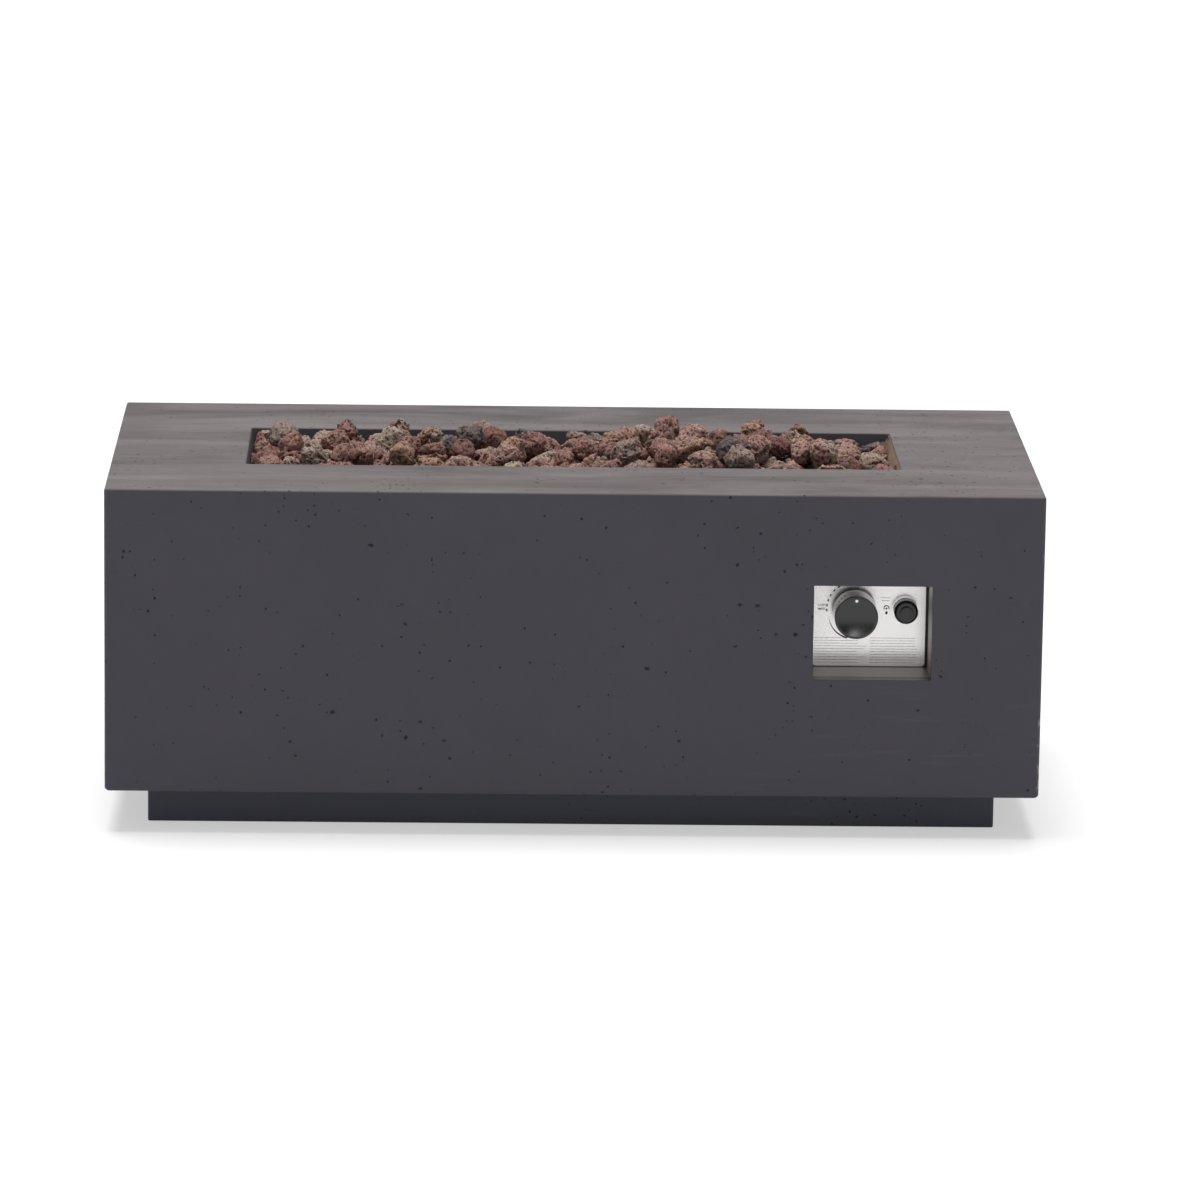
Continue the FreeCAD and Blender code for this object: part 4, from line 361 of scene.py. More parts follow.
class AirPits(Effect):
    """Round pits that air bubbles leave in cast concrete, in clusters."""

    title = "air_pits"
    takes = {"Cells": 95.0, "Radius": 0.0015, "Share": 0.5, "Cluster": 5.0}
    gives = ("Mask", "Height")
    rag_scale: ClassVar[float] = 800.0
    rag: ClassVar[float] = 0.09
    least_size: ClassVar[float] = 0.3
    size_range: ClassVar[float] = 0.9
    sparse: ClassVar[float] = 0.04
    crowded: ClassVar[float] = 1.7

    def wire(self, graph: Graph, given: bpy.types.NodeOutputs) -> dict[str, Feed]:
        """Cut spheres of uneven size with the surface, and drop some by a soft noise.

        Args:
            graph: the group's tree.
            given: its inputs.

        Returns:
            The socket for each output.
        """
        cell = graph.cells(given["Vector"], given["Cells"])
        ragged = graph.remap(graph.noise(given["Vector"], self.rag_scale, 2.0), 0.25, 0.75,
                             -self.rag, self.rag)
        distance = graph.math("ADD", cell.outputs["Distance"], ragged)
        size, lot, _ = graph.parts(cell.outputs["Color"])
        spread = graph.math("ADD", self.least_size,
                            graph.math("MULTIPLY", graph.math("POWER", size, 2.0),
                                       self.size_range))
        radius = graph.math("MULTIPLY", graph.math("MULTIPLY", given["Radius"], given["Cells"]),
                            spread)
        depth = graph.math("SUBTRACT", 1.0,
                           graph.math("DIVIDE", distance, radius), clamp=True)
        cluster = graph.remap(graph.noise(given["Vector"], given["Cluster"], 3.0, 0.6),
                              0.46, 0.68, self.sparse, self.crowded)
        kept = graph.math("LESS_THAN", lot, graph.math("MULTIPLY", given["Share"], cluster))
        mask = graph.math("MULTIPLY", graph.remap(depth, 0.0, 0.3), kept)
        bowl = graph.math("MULTIPLY", graph.math("SQRT", depth), kept)
        return {"Mask": mask, "Height": graph.math("SUBTRACT", 1.0, bowl)}


class CloudyTone(Effect):
    """Faint light and dark patches of a cast or worn surface."""

    title = "cloudy_tone"
    takes = {"Scale": 5.0}
    gives = ("Tone",)
    fineness: ClassVar[float] = 9.0
    wide_share: ClassVar[float] = 0.72

    def wire(self, graph: Graph, given: bpy.types.NodeOutputs) -> dict[str, Feed]:
        """Add two sizes of soft noise.

        Args:
            graph: the group's tree.
            given: its inputs.

        Returns:
            The socket for each output.
        """
        wide = graph.noise(given["Vector"], given["Scale"], 4.0, 0.55, 0.6)
        finer = graph.math("MULTIPLY", given["Scale"], self.fineness)
        fine = graph.noise(given["Vector"], finer, 3.0, 0.6)
        total = graph.math("ADD", graph.remap(wide, 0.3, 0.7, 0.0, self.wide_share),
                           graph.remap(fine, 0.3, 0.7, 0.0, 1.0 - self.wide_share))
        return {"Tone": total}


class DrawnLines(Effect):
    """Fine lines along X, as a trowel, a brush or a roller leaves them."""

    title = "drawn_lines"
    takes = {"Length": 0.2, "Width": 0.002}
    gives = ("Lines",)

    def wire(self, graph: Graph, given: bpy.types.NodeOutputs) -> dict[str, Feed]:
        """Stretch a noise along X.

        Args:
            graph: the group's tree.
            given: its inputs.

        Returns:
            The socket for each output.
        """
        along = graph.math("DIVIDE", 1.0, given["Length"])
        across = graph.math("DIVIDE", 1.0, given["Width"])
        factors = graph.add("CombineXYZ", {"X": along, "Y": across, "Z": across})
        lines = graph.noise(graph.scaled(given["Vector"], factors.outputs[0]), 1.0, 3.0, 0.6)
        return {"Lines": graph.remap(lines, 0.28, 0.72)}


class BoxEdges(Effect):
    """How near a point of an upright box lies to the box's edges."""

    title = "box_edges"
    takes = {"Half X": 0.5, "Half Y": 0.25, "Low": 0.0, "High": 0.4, "Reach": 0.004}
    gives = ("Edge",)

    def apart(self, graph: Graph, first: Feed, second: Feed) -> bpy.types.NodeSocket:
        """Give the distance between two numbers."""
        return graph.math("ABSOLUTE", graph.math("SUBTRACT", first, second))

    def wire(self, graph: Graph, given: bpy.types.NodeOutputs) -> dict[str, Feed]:
        """Take the second smallest of the distances to the box's faces.

        Args:
            graph: the group's tree.
            given: its inputs.

        Returns:
            The socket for each output.
        """
        x, y, z = graph.parts(given["Vector"])
        to_x = self.apart(graph, given["Half X"], graph.math("ABSOLUTE", x))
        to_y = self.apart(graph, given["Half Y"], graph.math("ABSOLUTE", y))
        to_z = graph.math("MINIMUM", self.apart(graph, given["High"], z),
                          self.apart(graph, z, given["Low"]))
        least = graph.math("MINIMUM", to_x, to_y)
        most = graph.math("MAXIMUM", to_x, to_y)
        second = graph.math("MAXIMUM", least, graph.math("MINIMUM", most, to_z))
        return {"Edge": graph.remap(second, 0.0, given["Reach"], 1.0, 0.0)}


class RockPores(Effect):
    """Open bubbles and crumbs of lava rock."""

    title = "rock_pores"
    takes = {"Cells": 330.0}
    gives = ("Pores", "Crumbs")
    swirl_scale: ClassVar[float] = 160.0
    swirl: ClassVar[float] = 0.004
    small_cells: ClassVar[float] = 2.3
    crumb_cells: ClassVar[float] = 1.4

    def wire(self, graph: Graph, given: bpy.types.NodeOutputs) -> dict[str, Feed]:
        """Bend the coordinates a little, then lay two sizes of bubbles over a crumbly noise.

        Args:
            graph: the group's tree.
            given: its inputs.

        Returns:
            The socket for each output.
        """
        stirred = graph.add("VectorMath", operation="MULTIPLY_ADD")
        swirl = graph.add("TexNoise", {"Vector": given["Vector"], "Scale": self.swirl_scale})
        for socket, value in zip(stirred.inputs, (swirl.outputs["Color"], (self.swirl,) * 3,
                                                  given["Vector"])):
            graph.feed(socket, value)
        large = graph.cells(stirred.outputs[0], given["Cells"])
        small = graph.cells(stirred.outputs[0],
                            graph.math("MULTIPLY", given["Cells"], self.small_cells))
        size, _, _ = graph.parts(large.outputs["Color"])
        wide = graph.remap(large.outputs["Distance"],
                           graph.math("MULTIPLY", size, 0.26), graph.math("MULTIPLY", size, 0.52),
                           1.0, 0.0)
        fine = graph.remap(small.outputs["Distance"], 0.16, 0.4, 0.6, 0.0)
        crumbs = graph.noise(given["Vector"],
                             graph.math("MULTIPLY", given["Cells"], self.crumb_cells), 4.0, 0.7)
        return {"Pores": graph.math("MAXIMUM", wide, fine), "Crumbs": crumbs}


@dataclass(frozen=True)
class Finish:
    """A finish of the table; its slot is the record's name for it.

    The base class is a plain coated or moulded surface with faint patches.
    """

    slot: str
    colour: Colour
    rough: float = 0.5
    metal: float = 0.0
    patches: float = 12.0
    uneven: float = 0.12
    coat: float = 0.0
    coat_rough: ClassVar[float] = 0.08
    rough_range: ClassVar[float] = 0.08
    rough_least: ClassVar[float] = 0.04
    grain_scale: ClassVar[float] = 900.0
    grain_depth: ClassVar[float] = 0.00003

    def material(self) -> bpy.types.Material:
        """Give the material of this finish, and build it at its first use.

        Returns:
            The material.
        """
        name = f"{self.slot}_finish"
        made = bpy.data.materials.get(name)
        if made is not None:
            return made
        made, graph = blank_material(name)
        shader = graph.add("BsdfPrincipled", {
            "Base Color": self.colour, "Roughness": self.rough, "Metallic": self.metal,
            "Coat Weight": self.coat, "Coat Roughness": self.coat_rough})
        graph.show(shader)
        self.dress(graph, shader, graph.add("TexCoord").outputs["Object"])
        return made

    def shades(self, graph: Graph, tone: Feed, spread: float,
               colour: Feed | None = None) -> bpy.types.NodeSocket:
        """Lighten and darken the finish's colour.

        Args:
            graph: the material's tree.
            tone: number between 0 and 1.
            spread: largest change, as a share of the colour.
            colour: colour to change, or none for the finish's own.

        Returns:
            The changed colour.
        """
        factor = graph.math("MULTIPLY_ADD", tone, 2.0 * spread, 1.0 - spread)
        grey = graph.add("CombineXYZ", {"X": factor, "Y": factor, "Z": factor})
        start = self.colour if colour is None else colour
        return graph.mixed(1.0, start, grey.outputs[0], "MULTIPLY")

    def dress(self, graph: Graph, shader: bpy.types.Node, place: Feed) -> None:
        """Feed the shader's inputs.

        Args:
            graph: the material's tree.
            shader: its Principled shader.
            place: object coordinates in metres.
        """
        tone = CloudyTone().place(graph, place, Scale=self.patches)["Tone"]
        graph.feed(shader.inputs["Base Color"], self.shades(graph, tone, self.uneven))
        low = max(self.rough - self.rough_range, self.rough_least)
        high = min(self.rough + self.rough_range, 1.0)
        graph.feed(shader.inputs["Roughness"], graph.remap(tone, 0.0, 1.0, low, high))
        grain = graph.noise(place, self.grain_scale, 3.0, 0.6)
        graph.feed(shader.inputs["Normal"], graph.bump(grain, self.grain_depth))


@dataclass(frozen=True)
class CastConcrete(Finish):
    """Dark cast concrete with patches, worn edges, air pits painted dark as shade and a trowelled
    top painted lighter as light from above.
    """

    half_x: float = 0.508
    half_y: float = 0.254
    high: float = 0.381
    # Painted light: the top's colour is lighter than the front's, as if light from above falls on
    # it.
    lit_top_colour: Colour = (0.089, 0.0757, 0.076)
    # Partly painted light: the trough's right wall is streaky raw cement, made lighter as if light
    # from the left falls on it.
    lit_tan_colour: Colour = (0.30, 0.215, 0.15)
    # Partly painted light: the pocket's raw cement is made lighter, as if front light falls into
    # it.
    lit_pocket_colour: Colour = (0.30, 0.27, 0.26)
    sill_colour: Colour = (0.06, 0.053, 0.049)
    scuff_colour: Colour = (0.22, 0.22, 0.23)
    chip_colour: Colour = (0.42, 0.39, 0.36)
    # Painted shade: air pits are coloured nearly black for the shade inside them.
    pit_shade_colour: Colour = (0.004, 0.004, 0.005)
    lit_wall_low: Corner = (0.351, -0.1045, 0.3305)
    lit_wall_high: Corner = (0.3606, 0.1045, 0.379)
    pocket_low: Corner = (0.2585, -0.2525, 0.1767)
    pocket_high: Corner = (0.3881, -0.186, 0.2816)
    sill_end: float = -0.222
    fine_pits: ClassVar[dict[str, float]] = {
        "Cells": 150.0, "Radius": 0.0016, "Share": 0.62, "Cluster": 9.0}
    large_pits: ClassVar[dict[str, float]] = {
        "Cells": 50.0, "Radius": 0.0024, "Share": 0.42, "Cluster": 7.0}
    patch_scale: ClassVar[float] = 4.5
    patch_spread: ClassVar[float] = 0.1
    trowel: ClassVar[dict[str, float]] = {"Length": 0.12, "Width": 0.0045}
    scuff_grain: ClassVar[tuple[float, float, float]] = (7.0, 7.0, 90.0)
    scuff_share: ClassVar[float] = 0.09
    scuff_heights: ClassVar[tuple[float, float]] = (0.13, 0.19)
    scuff_places: ClassVar[tuple[float, float]] = (0.1, 0.3)
    wiped_grain: ClassVar[tuple[float, float, float]] = (3.0, 13.0, 13.0)
    streak: ClassVar[float] = 0.3
    cloud_spread: ClassVar[float] = 0.34
    # Painted shade: the top is coloured darker towards the back, between these places along Y.
    back_shade_places: ClassVar[tuple[float, float]] = (0.09, 0.2)
    back_shade: ClassVar[float] = 0.2
    stroke_grain: ClassVar[tuple[float, float, float]] = (700.0, 700.0, 60.0)
    stroke_spread: ClassVar[float] = 0.45
    smear_grain: ClassVar[tuple[float, float, float]] = (40.0, 220.0, 220.0)
    smear_spread: ClassVar[float] = 0.18
    top_skin: ClassVar[tuple[float, float]] = (0.0016, 0.0004)
    pit_shade: ClassVar[float] = 0.86
    pit_depth: ClassVar[float] = 0.0011
    grain_scale: ClassVar[float] = 420.0
    grain_depth: ClassVar[float] = 0.00022
    edge_reach: ClassVar[float] = 0.0035
    edge_wear: ClassVar[float] = 0.06
    chip_wear: ClassVar[float] = 0.7
    pocket_gloss: ClassVar[float] = 0.35
    sheen: ClassVar[float] = 0.25

    def within(self, graph: Graph, place: Feed, low: Corner, high: Corner
               ) -> bpy.types.NodeSocket:
        """Pick out the part of the surface that lies in an upright box.

        Args:
            graph: the material's tree.
            place: object coordinates in metres.
            low: the box's lowest corner.
            high: the box's highest corner.

        Returns:
            1 inside the box and 0 outside.
        """
        inside = None
        for axis, least, most in zip(graph.parts(place), low, high):
            held = graph.math("COMPARE", axis, (least + most) / 2, (most - least) / 2)
            inside = held if inside is None else graph.math("MULTIPLY", inside, held)
        return inside

    def pocket(self, graph: Graph, place: Feed) -> bpy.types.NodeSocket:
        """Pick out the inside of the control pocket."""
        return self.within(graph, place, self.pocket_low, self.pocket_high)

    def bare_and_lit_cement(self, graph: Graph, place: Feed, colour: Feed) -> bpy.types.NodeSocket:
        """Colour the trough's right wall and the control pocket: raw cement without pigment, made
        lighter as painted light.

        Args:
            graph: the material's tree.
            place: object coordinates in metres.
            colour: colour elsewhere.

        Returns:
            The colour with those places laid in.
        """
        strokes = graph.noise(graph.scaled(place, self.stroke_grain), 1.0, 3.0, 0.65)
        tan = self.shades(graph, graph.remap(strokes, 0.3, 0.7), self.stroke_spread,
                          self.lit_tan_colour)
        # Partly painted light: the right wall's streaky tan stands for raw cement and for light
        # from the left.
        colour = graph.mixed(self.within(graph, place, self.lit_wall_low, self.lit_wall_high), colour, tan)
        smears = graph.noise(graph.scaled(place, self.smear_grain), 1.0, 3.0, 0.6)
        smears = graph.remap(smears, 0.3, 0.7)
        lit_bare = self.shades(graph, smears, self.smear_spread, self.lit_pocket_colour)
        # Partly painted light: the pocket's raw cement is lightened as if front light falls in.
        colour = graph.mixed(self.pocket(graph, place), colour, lit_bare)
        right, _, top = self.pocket_high
        sill = self.within(graph, place, self.pocket_low, (right, self.sill_end, top))
        return graph.mixed(sill, colour, self.shades(graph, smears, self.smear_spread,
                                                     self.sill_colour))

    def dress(self, graph: Graph, shader: bpy.types.Node, place: Feed) -> None:
        """Lay patches, trowel lines, pits and wear over each other.

        Args:
            graph: the material's tree.
            shader: its Principled shader.
            place: object coordinates in metres.
        """
        x, y, z = graph.parts(place)
        top = graph.remap(z, self.high - self.top_skin[0], self.high - self.top_skin[1])
        tone = CloudyTone().place(graph, place, Scale=self.patch_scale)["Tone"]
        lines = DrawnLines().place(graph, place, **self.trowel)["Lines"]
        colour = self.shades(graph, tone, self.patch_spread)
        scuffs = graph.remap(graph.noise(graph.scaled(place, self.scuff_grain), 1.0, 3.0, 0.6),
                             0.6, 0.75, 0.0, self.scuff_share)
        scuffs = graph.math("MULTIPLY", scuffs, graph.remap(z, *self.scuff_heights, 1.0, 0.0))
        scuffs = graph.math("MULTIPLY", scuffs, graph.remap(x, *self.scuff_places))
        colour = graph.mixed(scuffs, colour, self.scuff_colour)
        wiped = graph.noise(graph.scaled(place, self.wiped_grain), 1.0, 4.0, 0.62, 0.8)
        streaks = graph.math("MULTIPLY_ADD", lines, self.streak, -self.streak / 2)
        clouds = graph.math("ADD", graph.remap(wiped, 0.34, 0.66), streaks)
        # Painted shade: darker towards the back of the top.
        painted_back_shade = graph.remap(y, *self.back_shade_places, 0.0, self.back_shade)
        # Painted light: the top takes its lighter lit colour; the trowel lines and wiped clouds
        # over it are real texture.
        upper = self.shades(graph, graph.math("SUBTRACT", clouds, painted_back_shade), self.cloud_spread,
                            self.lit_top_colour)
        # The trough's right wall and the pocket get lighter colours, partly painted light.
        colour = self.bare_and_lit_cement(graph, place, graph.mixed(top, colour, upper))

        fine = AirPits().place(graph, place, **self.fine_pits)
        large = AirPits().place(graph, graph.scaled(place, (1.0, 1.0, 1.25)), **self.large_pits)
        pits = graph.math("MAXIMUM", fine["Mask"], large["Mask"])
        # Painted shade: the pits darken to nearly black.
        colour = graph.mixed(graph.math("MULTIPLY", pits, self.pit_shade), colour, self.pit_shade_colour)

        # Low and High lie far outside, so only the upright edges wear.
        near = BoxEdges().place(graph, place, Half_X=self.half_x, Half_Y=self.half_y,
                                Low=-1.0, High=2.0, Reach=self.edge_reach)["Edge"]
        chipped = graph.remap(graph.noise(place, 80.0, 5.0, 0.7), 0.57, 0.62, 0.0, self.chip_wear)
        chipped = graph.math("MULTIPLY", chipped, graph.remap(graph.noise(place, 5.0), 0.5, 0.56))
        wear = graph.math("MULTIPLY", near, graph.math("ADD", self.edge_wear, chipped))
        colour = graph.mixed(wear, colour, self.chip_colour)
        graph.feed(shader.inputs["Base Color"], colour)
        rough = graph.remap(tone, 0.0, 1.0, 0.62, 0.78)
        smooth = graph.math("MULTIPLY", self.pocket(graph, place), self.pocket_gloss)
        graph.feed(shader.inputs["Roughness"], graph.math("SUBTRACT", rough, smooth))
        shader.inputs["Specular IOR Level"].default_value = self.sheen
        grain = graph.bump(graph.noise(place, self.grain_scale, 5.0, 0.65), self.grain_depth)
        height = graph.math("MINIMUM", fine["Height"], large["Height"])
        graph.feed(shader.inputs["Normal"], graph.bump(height, self.pit_depth, grain))


@dataclass(frozen=True)
class LavaRock(Finish):
    """Porous volcanic rock; each stone takes its colour from its stone_tone value, and its pores
    and pits are painted dark as shade.
    """

    tones: tuple[tuple[float, Colour], ...] = (
        (0.00, (0.180, 0.078, 0.064)), (0.18, (0.250, 0.120, 0.098)),
        (0.42, (0.325, 0.185, 0.152)), (0.62, (0.225, 0.160, 0.136)),
        (0.76, (0.325, 0.238, 0.190)), (0.84, (0.085, 0.070, 0.070)),
        (0.89, (0.300, 0.165, 0.112)), (0.96, (0.390, 0.315, 0.225)))
    dust: Colour = (0.36, 0.25, 0.195)
    # Painted shade: pores and pits are coloured nearly black for the shade inside them.
    pore_shade_colour: Colour = (0.02, 0.009, 0.008)
    cells: ClassVar[float] = 330.0
    tone_scale: ClassVar[float] = 60.0
    dust_share: ClassVar[float] = 0.5
    crumb_spread: ClassVar[float] = 0.45
    pore_shade_share: ClassVar[float] = 0.85
    pit_shade_share: ClassVar[float] = 0.9
    pore_depth: ClassVar[float] = 0.0014
    crumb_depth: ClassVar[float] = 0.0016

    def dress(self, graph: Graph, shader: bpy.types.Node, place: Feed) -> None:
        """Colour the stones one by one, paint shade into their pores and pits, and open their
        pores.

        Args:
            graph: the material's tree.
            shader: its Principled shader.
            place: object coordinates in metres.
        """
        own = graph.add("Attribute", attribute_name="stone_tone").outputs["Fac"]
        pit = graph.add("Attribute", attribute_name="stone_pit").outputs["Fac"]
        base = graph.stops(own, list(self.tones), held=True)
        tone = CloudyTone().place(graph, place, Scale=self.tone_scale)["Tone"]
        dusty = graph.mixed(graph.remap(tone, 0.4, 0.9, 0.0, self.dust_share), base, self.dust)
        rock = RockPores().place(graph, place, Cells=self.cells)
        contrast = graph.remap(rock["Crumbs"], 0.3, 0.7)
        colour = self.shades(graph, contrast, self.crumb_spread, dusty)
        # Painted shade: open pores and pits darken towards black.
        pore_shade = graph.math("MAXIMUM", graph.math("MULTIPLY", rock["Pores"], self.pore_shade_share),
                               graph.remap(pit, 0.12, 0.7, 0.0, self.pit_shade_share))
        colour = graph.mixed(pore_shade, colour, self.pore_shade_colour)
        graph.feed(shader.inputs["Base Color"], colour)
        crumbs = graph.bump(rock["Crumbs"], self.crumb_depth)
        closed = graph.math("SUBTRACT", 1.0, rock["Pores"])
        graph.feed(shader.inputs["Normal"], graph.bump(closed, self.pore_depth, crumbs))


@dataclass(frozen=True)
class BrushedMetal(Finish):
    """Rolled or brushed sheet metal with fine lines along X."""

    length: float = 0.05
    width: float = 0.00022
    rough_range: ClassVar[float] = 0.06
    line_depth: ClassVar[float] = 0.000004

    def dress(self, graph: Graph, shader: bpy.types.Node, place: Feed) -> None:
        """Draw the lines into colour, gloss and normal.

        Args:
            graph: the material's tree.
            shader: its Principled shader.
            place: object coordinates in metres.
        """
        lines = DrawnLines().place(graph, place, Length=self.length, Width=self.width)["Lines"]
        tone = CloudyTone().place(graph, place, Scale=self.patches)["Tone"]
        both = graph.mean(lines, tone)
        graph.feed(shader.inputs["Base Color"], self.shades(graph, both, self.uneven))
        graph.feed(shader.inputs["Roughness"],
                   graph.remap(both, 0.0, 1.0, self.rough - self.rough_range,
                               self.rough + self.rough_range))
        graph.feed(shader.inputs["Normal"], graph.bump(lines, self.line_depth))


@dataclass(frozen=True)
class SleeveSheet(BrushedMetal):
    """Sheet of the pocket's sleeve, dark where the control plate shades it."""

    length: float = 0.03
    width: float = 0.0014
    plate_y: float = -0.188
    fade: ClassVar[float] = 0.002
    shade_colour: ClassVar[Colour] = (0.008, 0.007, 0.007)

    def shades(self, graph: Graph, tone: Feed, spread: float,
               colour: Feed | None = None) -> bpy.types.NodeSocket:
        """Lighten and darken the colour, and blacken it behind the plate's front.

        Args:
            graph: the material's tree.
            tone: number between 0 and 1.
            spread: largest change, as a share of the colour.
            colour: colour to change, or none for the finish's own.

        Returns:
            The changed colour.
        """
        place = graph.add("TexCoord").outputs["Object"]
        behind = graph.remap(graph.parts(place)[1], self.plate_y - self.fade, self.plate_y)
        return graph.mixed(behind, super().shades(graph, tone, spread, colour),
                           self.shade_colour)


@dataclass(frozen=True)
class CastMetal(Finish):
    """Die-cast or sand-cast metal with a fine orange-peel skin."""

    skin_scale: ClassVar[float] = 700.0
    skin_depth: ClassVar[float] = 0.00009

    def dress(self, graph: Graph, shader: bpy.types.Node, place: Feed) -> None:
        """Give the metal its skin and faint stains.

        Args:
            graph: the material's tree.
            shader: its Principled shader.
            place: object coordinates in metres.
        """
        super().dress(graph, shader, place)
        skin = graph.cells(place, self.skin_scale, "SMOOTH_F1").outputs["Distance"]
        graph.feed(shader.inputs["Normal"], graph.bump(skin, self.skin_depth))


FINISHES: dict[str, Finish] = {finish.slot: finish for finish in (
    CastConcrete("cast_concrete", (0.0516, 0.0494, 0.060)),
    CastConcrete("plinth_concrete", (0.058, 0.059, 0.0755), half_x=0.463, half_y=0.209,
                 high=0.5),
    Finish("foot_rubber", (0.02, 0.02, 0.02), 0.8),
    Finish("zinc_steel", (0.42, 0.43, 0.44), 0.42, 1.0, patches=45.0, uneven=0.25),
    BrushedMetal("screw_steel", (0.5, 0.5, 0.5), 0.32, 1.0),
    BrushedMetal("stainless_sheet", (0.55, 0.55, 0.55), 0.34, 1.0),
    BrushedMetal("burner_steel", (0.45, 0.44, 0.43), 0.4, 1.0, uneven=0.2),
    Finish("panel_steel", (0.84, 0.82, 0.81), 0.24, 0.8, patches=7.0, uneven=0.015),
    LavaRock("lava_rock", (0.2, 0.105, 0.085), 0.9),
    CastMetal("brass", (0.62, 0.45, 0.2), 0.3, 1.0),
    CastMetal("valve_casting", (0.55, 0.55, 0.56), 0.42, 1.0),
    Finish("knob_plastic", (0.015, 0.015, 0.016), 0.08, patches=30.0, uneven=0.04),
    Finish("dot_paint", (0.85, 0.85, 0.85), 0.35, uneven=0.04),
    Finish("black_plastic", (0.012, 0.012, 0.013), 0.26, patches=60.0),
    Finish("barrel_plastic", (0.05, 0.05, 0.05), 0.45),
    Finish("chrome_nut", (0.8, 0.8, 0.81), 0.09, 1.0, patches=60.0, uneven=0.05),
    Finish("ceramic", (0.8, 0.79, 0.75), 0.3, coat=0.3, uneven=0.06),
    Finish("battery_wrap", (0.3, 0.31, 0.33), 0.25, 0.6),
    BrushedMetal("spring_steel", (0.4, 0.4, 0.4), 0.3, 1.0),
    CastMetal("lead_copper", (0.55, 0.33, 0.18), 0.32, 1.0),
    Finish("wire_sleeve", (0.03, 0.03, 0.03), 0.6),
    BrushedMetal("tube_copper", (0.6, 0.6, 0.6), 0.33, 1.0),
    SleeveSheet("housing_sheet", (0.25, 0.22, 0.21), 0.4, 0.3, uneven=0.4),
)}


def planted(piece: bpy.types.Object) -> bpy.types.Object:
    """Move an object's place into its mesh.

    Args:
        piece: mesh object.

    Returns:
        The same object, at the origin and unturned.
    """
    piece.data.transform(piece.matrix_world)
    piece.matrix_world = Matrix.Identity(4)
    return piece


def settle(piece: bpy.types.Object, slot: str, body: str = "root") -> bpy.types.Object:
    """Fix a finished piece in the frame: its place goes into its mesh, and it gets its finish.

    Args:
        piece: mesh object.
        slot: the record's slot of its finish.
        body: CAD body that it moves with.

    Returns:
        The same object.
    """
    planted(piece)
    piece.data.materials.clear()
    piece.data.materials.append(FINISHES[slot].material())
    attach(piece, body)
    LOG.info("%s: %d faces on %s", piece.name, len(piece.data.polygons), body)
    return piece


def only(piece: bpy.types.Object) -> bpy.types.Object:
    """Select one object alone and make it active.

    Args:
        piece: object to select.

    Returns:
        The same object.
    """
    bpy.ops.object.select_all(action="DESELECT")
    piece.select_set(True)
    bpy.context.view_layer.objects.active = piece
    return piece


def copied(piece: bpy.types.Object) -> bpy.types.Object:
    """Copy an object with a mesh of its own.

    Args:
        piece: mesh object.

    Returns:
        The copy.
    """
    copy = piece.copy()
    copy.data = piece.data.copy()
    bpy.context.scene.collection.objects.link(copy)
    return copy


def editing(piece: bpy.types.Object) -> None:
    """Open one mesh in edit mode with all of it selected."""
    only(piece)
    bpy.ops.object.mode_set(mode="EDIT")
    bpy.ops.mesh.select_all(action="SELECT")


def joined(pieces: list[bpy.types.Object], name: str) -> bpy.types.Object:
    """Join objects into one.

    Args:
        pieces: mesh objects.
        name: name of the result.

    Returns:
        The joined object.
    """
    only(pieces[0])
    for piece in pieces:
        piece.select_set(True)
    if len(pieces) > 1:
        bpy.ops.object.join()
    pieces[0].name = name
    pieces[0].data.name = name
    return pieces[0]


def lumps(name: str, kind: str, size: float, **settings: object) -> bpy.types.Texture:
    """Make a procedural texture for displacement.

    Args:
        name: name of the texture.
        kind: its type, such as CLOUDS.
        size: size of its lumps in metres.
        settings: its own properties.

    Returns:
        The texture.
    """
    texture = bpy.data.textures.new(name, kind)
    texture.noise_scale = size
    for key, value in settings.items():
        setattr(texture, key, value)
    return texture


def pushed(piece: bpy.types.Object, texture: bpy.types.Texture, strength: float,
           middle: float) -> None:
    """Push a surface out and in by a texture, and apply it.

    Args:
        piece: mesh object.
        texture: procedural texture in the piece's own coordinates.
        strength: push at a value of 1 in metres.
        middle: texture value that stays in place.
    """
    only(piece)
    modifier = piece.modifiers.new(texture.name, "DISPLACE")
    modifier.texture = texture
    modifier.texture_coords = "LOCAL"
    modifier.strength = strength
    modifier.mid_level = middle
    bpy.ops.object.modifier_apply(modifier=modifier.name)


def places_of(piece: bpy.types.Object) -> np.ndarray:
    """Read the places of a mesh's vertices.

    Args:
        piece: mesh object.

    Returns:
        One row of three numbers for each vertex.
    """
    flat = np.empty(len(piece.data.vertices) * 3)
    piece.data.vertices.foreach_get("co", flat)
    return flat.reshape(-1, 3)


def divided(piece: bpy.types.Object, levels: int, way: Dividing = Dividing.FLAT) -> None:
    """Divide a mesh's faces, and apply it.

    Args:
        piece: mesh object.
        levels: how many times each face is divided.
        way: whether the faces stay flat or are rounded.
    """
    only(piece)
    modifier = piece.modifiers.new("divided", "SUBSURF")
    modifier.subdivision_type = way.value
    modifier.levels = modifier.render_levels = levels
    bpy.ops.object.modifier_apply(modifier=modifier.name)


def softened(piece: bpy.types.Object, rounds: int) -> None:
    """Take the edges off a mesh.

    Args:
        piece: mesh object.
        rounds: how many times the vertices are evened out.
    """
    only(piece)
    modifier = piece.modifiers.new("softened", "SMOOTH")
    modifier.factor = 0.5
    modifier.iterations = rounds
    bpy.ops.object.modifier_apply(modifier=modifier.name)


